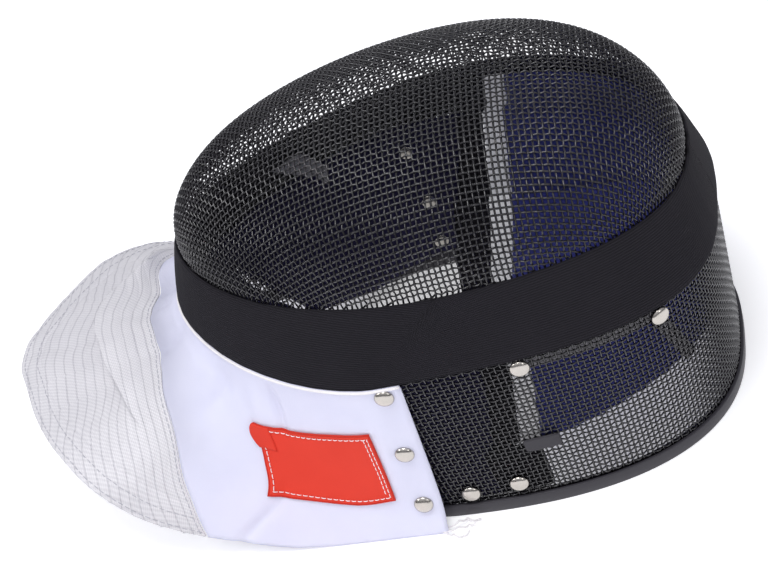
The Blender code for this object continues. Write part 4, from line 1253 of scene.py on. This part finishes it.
# %% Light webbing inside
def wall_strip(name, corners, depth, thickness, material):
    """Flat strip on the inside of the wall between four corners, given as angle over pi and level."""
    one, two = np.meshgrid(np.linspace(0.0, 1.0, 40), np.linspace(0.0, 1.0, 10), indexing="ij")
    weights = ((1.0 - one) * (1.0 - two), one * (1.0 - two), one * two, (1.0 - one) * two)
    turn = sum(w * c[0] for w, c in zip(weights, corners))
    level = sum(w * c[1] for w, c in zip(weights, corners))
    points = inset(cage, turn * math.pi, level, np.full(turn.shape, depth))
    piece = link(name, sheet_mesh(name, points, thickness), material)


# The webbing pieces inside are painted grey, as painted shade.
wall_strip("cheek_webbing", ((0.760, 1.70), (0.672, 0.86), (0.657, 0.97), (0.715, 1.72)), 0.0078, 0.0008,
           shade_grey_webbing)
BINDING_DEPTH = 0.00366
strap_turn, crown_turn = (2.0 - angle_at(BIB_REAR_X + along * (RIM["head_x"] - BIB_REAR_X), 0.95) / math.pi
                          for along in (0.388, 0.818))
wall_strip("near_binding", ((strap_turn, 0.90), (crown_turn, 0.90), (crown_turn, 0.985), (strap_turn, 0.985)),
           BINDING_DEPTH, 0.0004, shade_grey_webbing)
wall_strip("crown_binding", ((crown_turn - 0.012, 0.90), (crown_turn + 0.036, 0.52),
                             (crown_turn + 0.060, 0.54), (crown_turn + 0.012, 0.92)),
           BINDING_DEPTH, 0.0004, shade_grey_webbing)

# %% [markdown]
# Fittings of the straps. Inside the wall, a short webbing anchor; outside it, a small nylon tab. Two
# rounded boxes would stand off the curved wall, so both are thin plates that follow it.


# %% Strap fittings
def wall_plate(name, side, middle_x, levels, length, depth, thickness, material, node):
    """Small plate with rounded corners that follows the side wall."""
    first, last = angle_at(middle_x - length / 2.0, 0.3), angle_at(middle_x + length / 2.0, 0.3)
    ends = (last, first) if side > 0 else (-first, -last)
    one, two = np.meshgrid(np.linspace(-1.0, 1.0, 21), np.linspace(-1.0, 1.0, 15), indexing="ij")
    pinch = 1.0 - 0.10 * one ** 8
    angle = (ends[0] + ends[1]) / 2.0 + (ends[1] - ends[0]) / 2.0 * one * (1.0 - 0.06 * two ** 8)
    level = (levels[0] + levels[1]) / 2.0 + (levels[1] - levels[0]) / 2.0 * two * pinch
    rounding = 0.3 * thickness * (1.0 - smooth((1.0 - np.maximum(np.abs(one), np.abs(two))) / 0.12))
    points = inset(cage, angle, level, depth + rounding)
    return link(name, sheet_mesh(name, points, thickness - rounding), material, [node])


for label, side in (("near", -1.0), ("far", 1.0)):
    anchor_x = PAD_FRONT_X - side * PAD_SKEW * 0.5 - 0.0055
    middle, length, levels = ((anchor_x, 0.018, (0.09, 0.33)) if side > 0
                              else (anchor_x - 0.0072, 0.0295, (0.075, 0.41)))
    anchor = wall_plate("anchor_" + label + "_webbing", side, middle, levels, length, LINING_DEPTH,
                        STRAP_THICKNESS, black_elastic, "anchor_" + label)
    wall_plate("tab_" + label + "_nylon", side, anchor_x + 0.009, (0.378, 0.462), 0.018, 0.0004, 0.0012,
               tab_nylon, "tab_" + label)

# %% [markdown]
# Floor. The mask lies on plain white paper that is lit to pure white. Strong lamps would burn out
# the white cloth too, so the floor gives off part of its light itself, which also brightens what
# shows of it through the mesh.

# %% Floor
FLOOR_HALF = 3.0
corners = [(-FLOOR_HALF, -FLOOR_HALF, 0), (FLOOR_HALF, -FLOOR_HALF, 0), (FLOOR_HALF, FLOOR_HALF, 0),
           (-FLOOR_HALF, FLOOR_HALF, 0)]
floor_mesh = bpy.data.meshes.new("floor")
floor_mesh.from_pydata(corners, [], [(0, 1, 2, 3)])
floor = bpy.data.objects.new("floor", floor_mesh)
bpy.context.scene.collection.objects.link(floor)
floor_paper = bpy.data.materials.new("floor_paper")
floor_paper.use_nodes = True
paper = floor_paper.node_tree.nodes["Principled BSDF"].inputs
paper["Base Color"].default_value = linear("#FAFAFC")
paper["Roughness"].default_value = 0.9
paper["Emission Color"].default_value = linear("#FFFFFF")
paper["Emission Strength"].default_value = 0.36
floor_mesh.materials.append(floor_paper)
print("floor", 2.0 * FLOOR_HALF, "m square")

# %% [markdown]
# Light. A pale sky that is brighter overhead lights the mask from all round, so its shadows are
# faint. Three area lamps give the wires and rivets their small highlights. A studio picture could
# light it alone, but lamps of a known size are easier to move and to match.

# %% Light
world = bpy.data.worlds.new("studio")
world.use_nodes = True
sky = world.node_tree
sky_place = add_node(sky, "TexCoord")
sky_height = add_node(sky, "SeparateXYZ", None, None, {0: sky_place.outputs["Generated"]})
sky_share = add_node(sky, "MapRange", {"interpolation_type": "SMOOTHSTEP"},
                     {"From Min": -0.02, "From Max": 0.75, "To Min": 0.15, "To Max": 0.74},
                     {"Value": sky_height.outputs[2]})
sky.links.new(sky_share.outputs[0], sky.nodes["Background"].inputs[1])
sky.nodes["Background"].inputs[0].default_value = linear("#F7F8FF")
bpy.context.scene.world = world
AIM = Vector((0.0, 0.0, 0.08))
LIGHTS = table("name place size power",
    ("overhead", (0.05, -0.35, 1.5), 0.5, 9.0),
    ("near_left", (-1.2, -0.5, 1.2), 0.4, 5.6),
    ("near_right", (1.2, -0.9, 0.9), 0.35, 2.0))
for row in LIGHTS:
    lamp = bpy.data.lights.new(row["name"], "AREA")
    lamp.size = row["size"]
    lamp.energy = row["power"]
    stand = bpy.data.objects.new(row["name"], lamp)
    bpy.context.scene.collection.objects.link(stand)
    turned = (AIM - Vector(row["place"])).to_track_quat("-Z", "Y").to_matrix().to_4x4()
    stand.matrix_world = Matrix.Translation(row["place"]) @ turned
bpy.context.scene.view_settings.view_transform = "Standard"
print("lamps", [row["name"] for row in LIGHTS])
